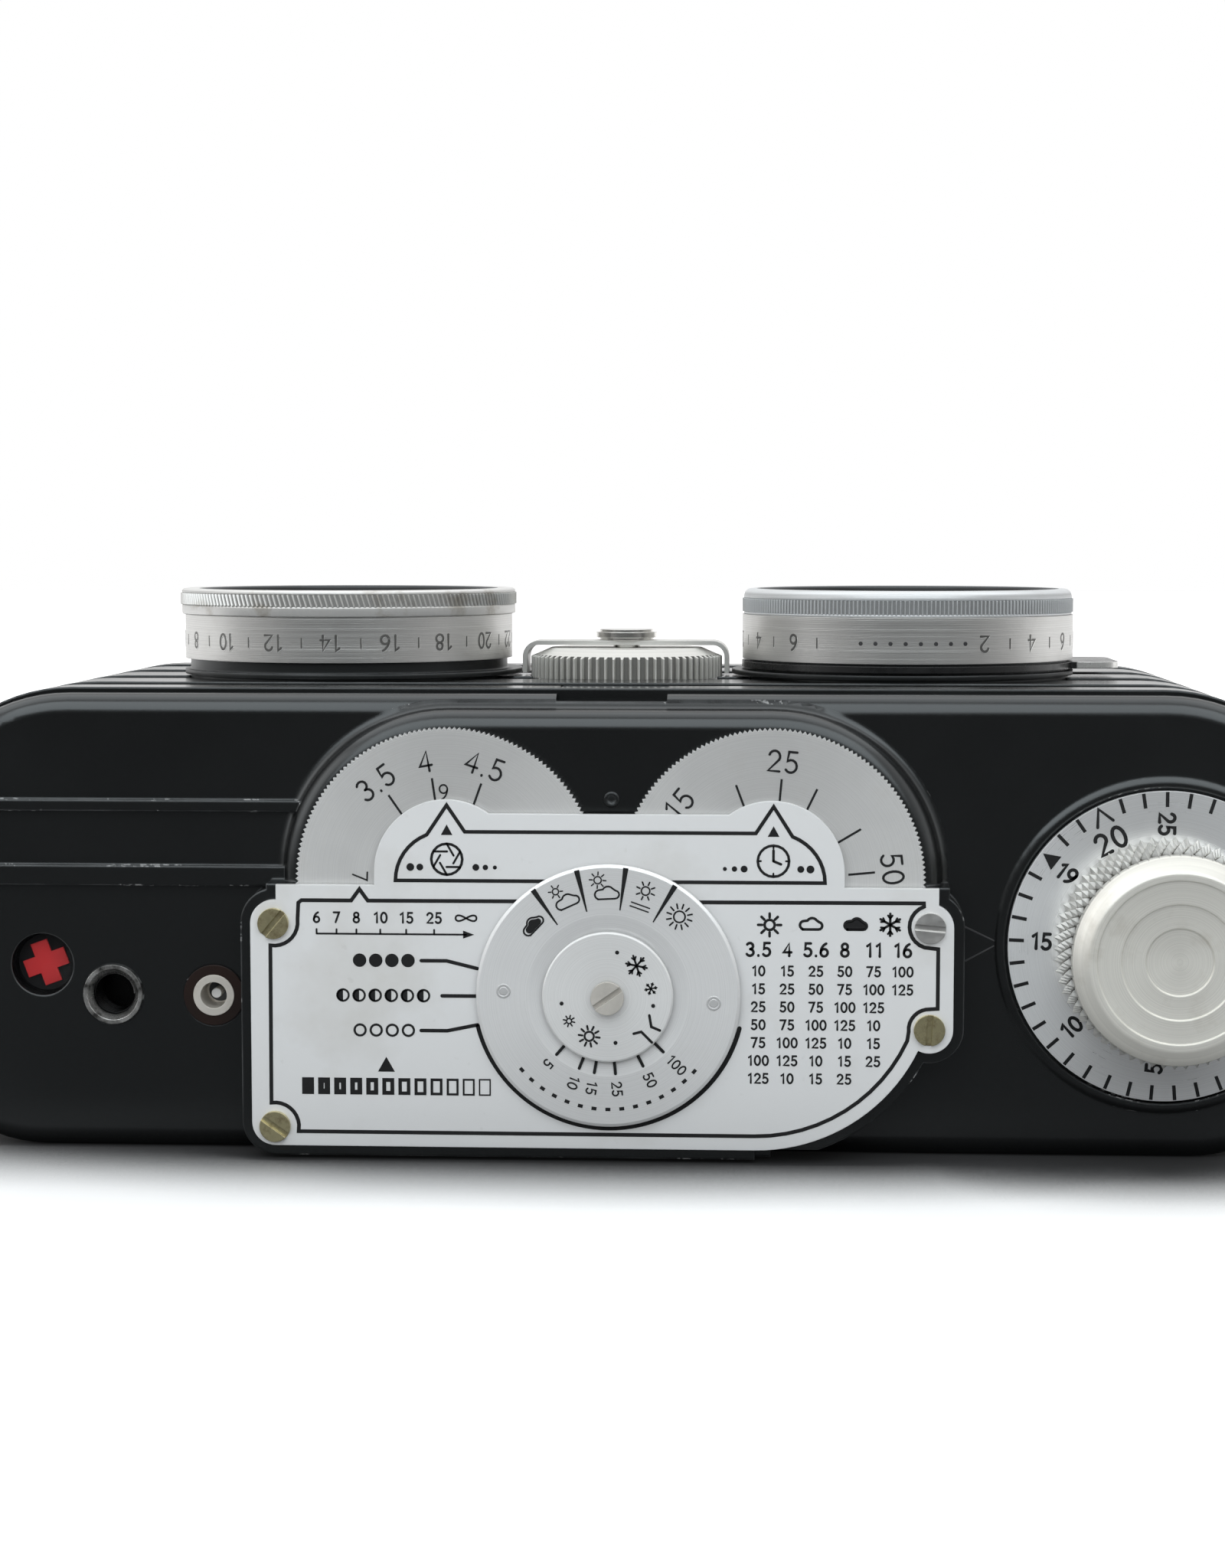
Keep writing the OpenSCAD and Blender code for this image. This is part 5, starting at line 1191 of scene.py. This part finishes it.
def makeFloor():
    half = studio["floorSize"] / 2
    mesh = bpy.data.meshes.new("floor")
    mesh.from_pydata([(-half, -half, 0), (half, -half, 0), (half, half, 0), (-half, half, 0)], [],
                     [(0, 1, 2, 3)])
    floor = bpy.data.objects.new("floor", mesh)
    scene.collection.objects.link(floor)
    finish, tree, shader, place = newFinish("paleFloor", Roughness=0.6, Specular_IOR_Level=0.2)
    path = put(tree, "LightPath").outputs
    mirror = mirrorRays(tree, path)
    # reflections see the floor darken towards the viewer's side
    dusk = calc(tree, "MULTIPLY", remap(tree, along(tree, place, "Y"), *studio["dusk"]), mirror)
    pale = blendColour(tree, dusk, studio["floorColour"], studio["shadeColour"])
    # painted contact shadow: dark where the object touches, white further out
    bare = put(tree, "AmbientOcclusion", {"Distance": studio["contact"]}, samples=12).outputs["AO"]
    clear = remap(tree, bare, *studio["paintedShadowRange"])
    wire(tree, shader, Base_Color=blendColour(tree, clear, studio["paintedShadowColour"], pale))
    away = vec(tree, "LENGTH", vec(tree, "MULTIPLY", place, studio["oval"]))
    white = calc(tree, "MULTIPLY", remap(tree, away, *studio["fade"]), clear)
    seen = calc(tree, "MAXIMUM", path["Is Camera Ray"], calc(tree, "SUBTRACT", mirror, dusk))
    glow = put(tree, "Emission", {"Strength": calc(tree, "MULTIPLY", white, seen)}).outputs[0]
    lit = put(tree, "AddShader", {0: shader.outputs[0], 1: glow}).outputs[0]
    # the underside lets a view from below through
    under = calc(tree, "MULTIPLY", put(tree, "NewGeometry").outputs["Backfacing"], path["Is Camera Ray"])
    through = put(tree, "BsdfTransparent").outputs[0]
    result = [n for n in tree.nodes if n.bl_idname == "ShaderNodeOutputMaterial"][0]
    tree.links.new(put(tree, "MixShader", {0: under, 1: lit, 2: through}).outputs[0], result.inputs[0])
    dress(floor, finish)


def makeWorld():
    world = bpy.data.worlds.new("studioWorld")
    scene.world = world
    world.use_nodes = True
    tree = world.node_tree
    tree.nodes.clear()
    path = put(tree, "LightPath").outputs
    ahead = put(tree, "SeparateXYZ", {0: put(tree, "TexCoord").outputs["Generated"]}).outputs
    # metal and glass see it darker on the viewer's side
    turn = calc(tree, "ADD", ahead["Y"], calc(tree, "MULTIPLY", calc(tree, "ABSOLUTE", ahead["X"]), 0.5))
    level = remap(tree, turn, *studio["worldTurn"])
    mirror = mirrorRays(tree, path)
    plain = put(tree, "Mix", {0: mirror, 2: studio["world"], 3: level}, data_type="FLOAT").outputs[0]
    strength = calc(tree, "MAXIMUM", plain, path["Is Camera Ray"])
    sky = put(tree, "Background", {"Color": (1, 1, 1, 1), "Strength": strength}).outputs[0]
    tree.links.new(sky, put(tree, "OutputWorld").inputs[0])


def softbox(name, place, aim, wide, high, radiance, colour):
    lamp = bpy.data.lights.new(name, "AREA")
    lamp.shape, lamp.size, lamp.size_y = "RECTANGLE", wide, high
    lamp.energy = radiance * math.pi * wide * high
    lamp.color = colour
    holder = bpy.data.objects.new(name, lamp)
    scene.collection.objects.link(holder)
    holder.location = place
    holder.rotation_euler = (Vector(aim) - Vector(place)).to_track_quat("-Z", "Y").to_euler()


makeFloor()
makeWorld()
for name, look in lamps.items():
    softbox(name, **look)
print("studio done")
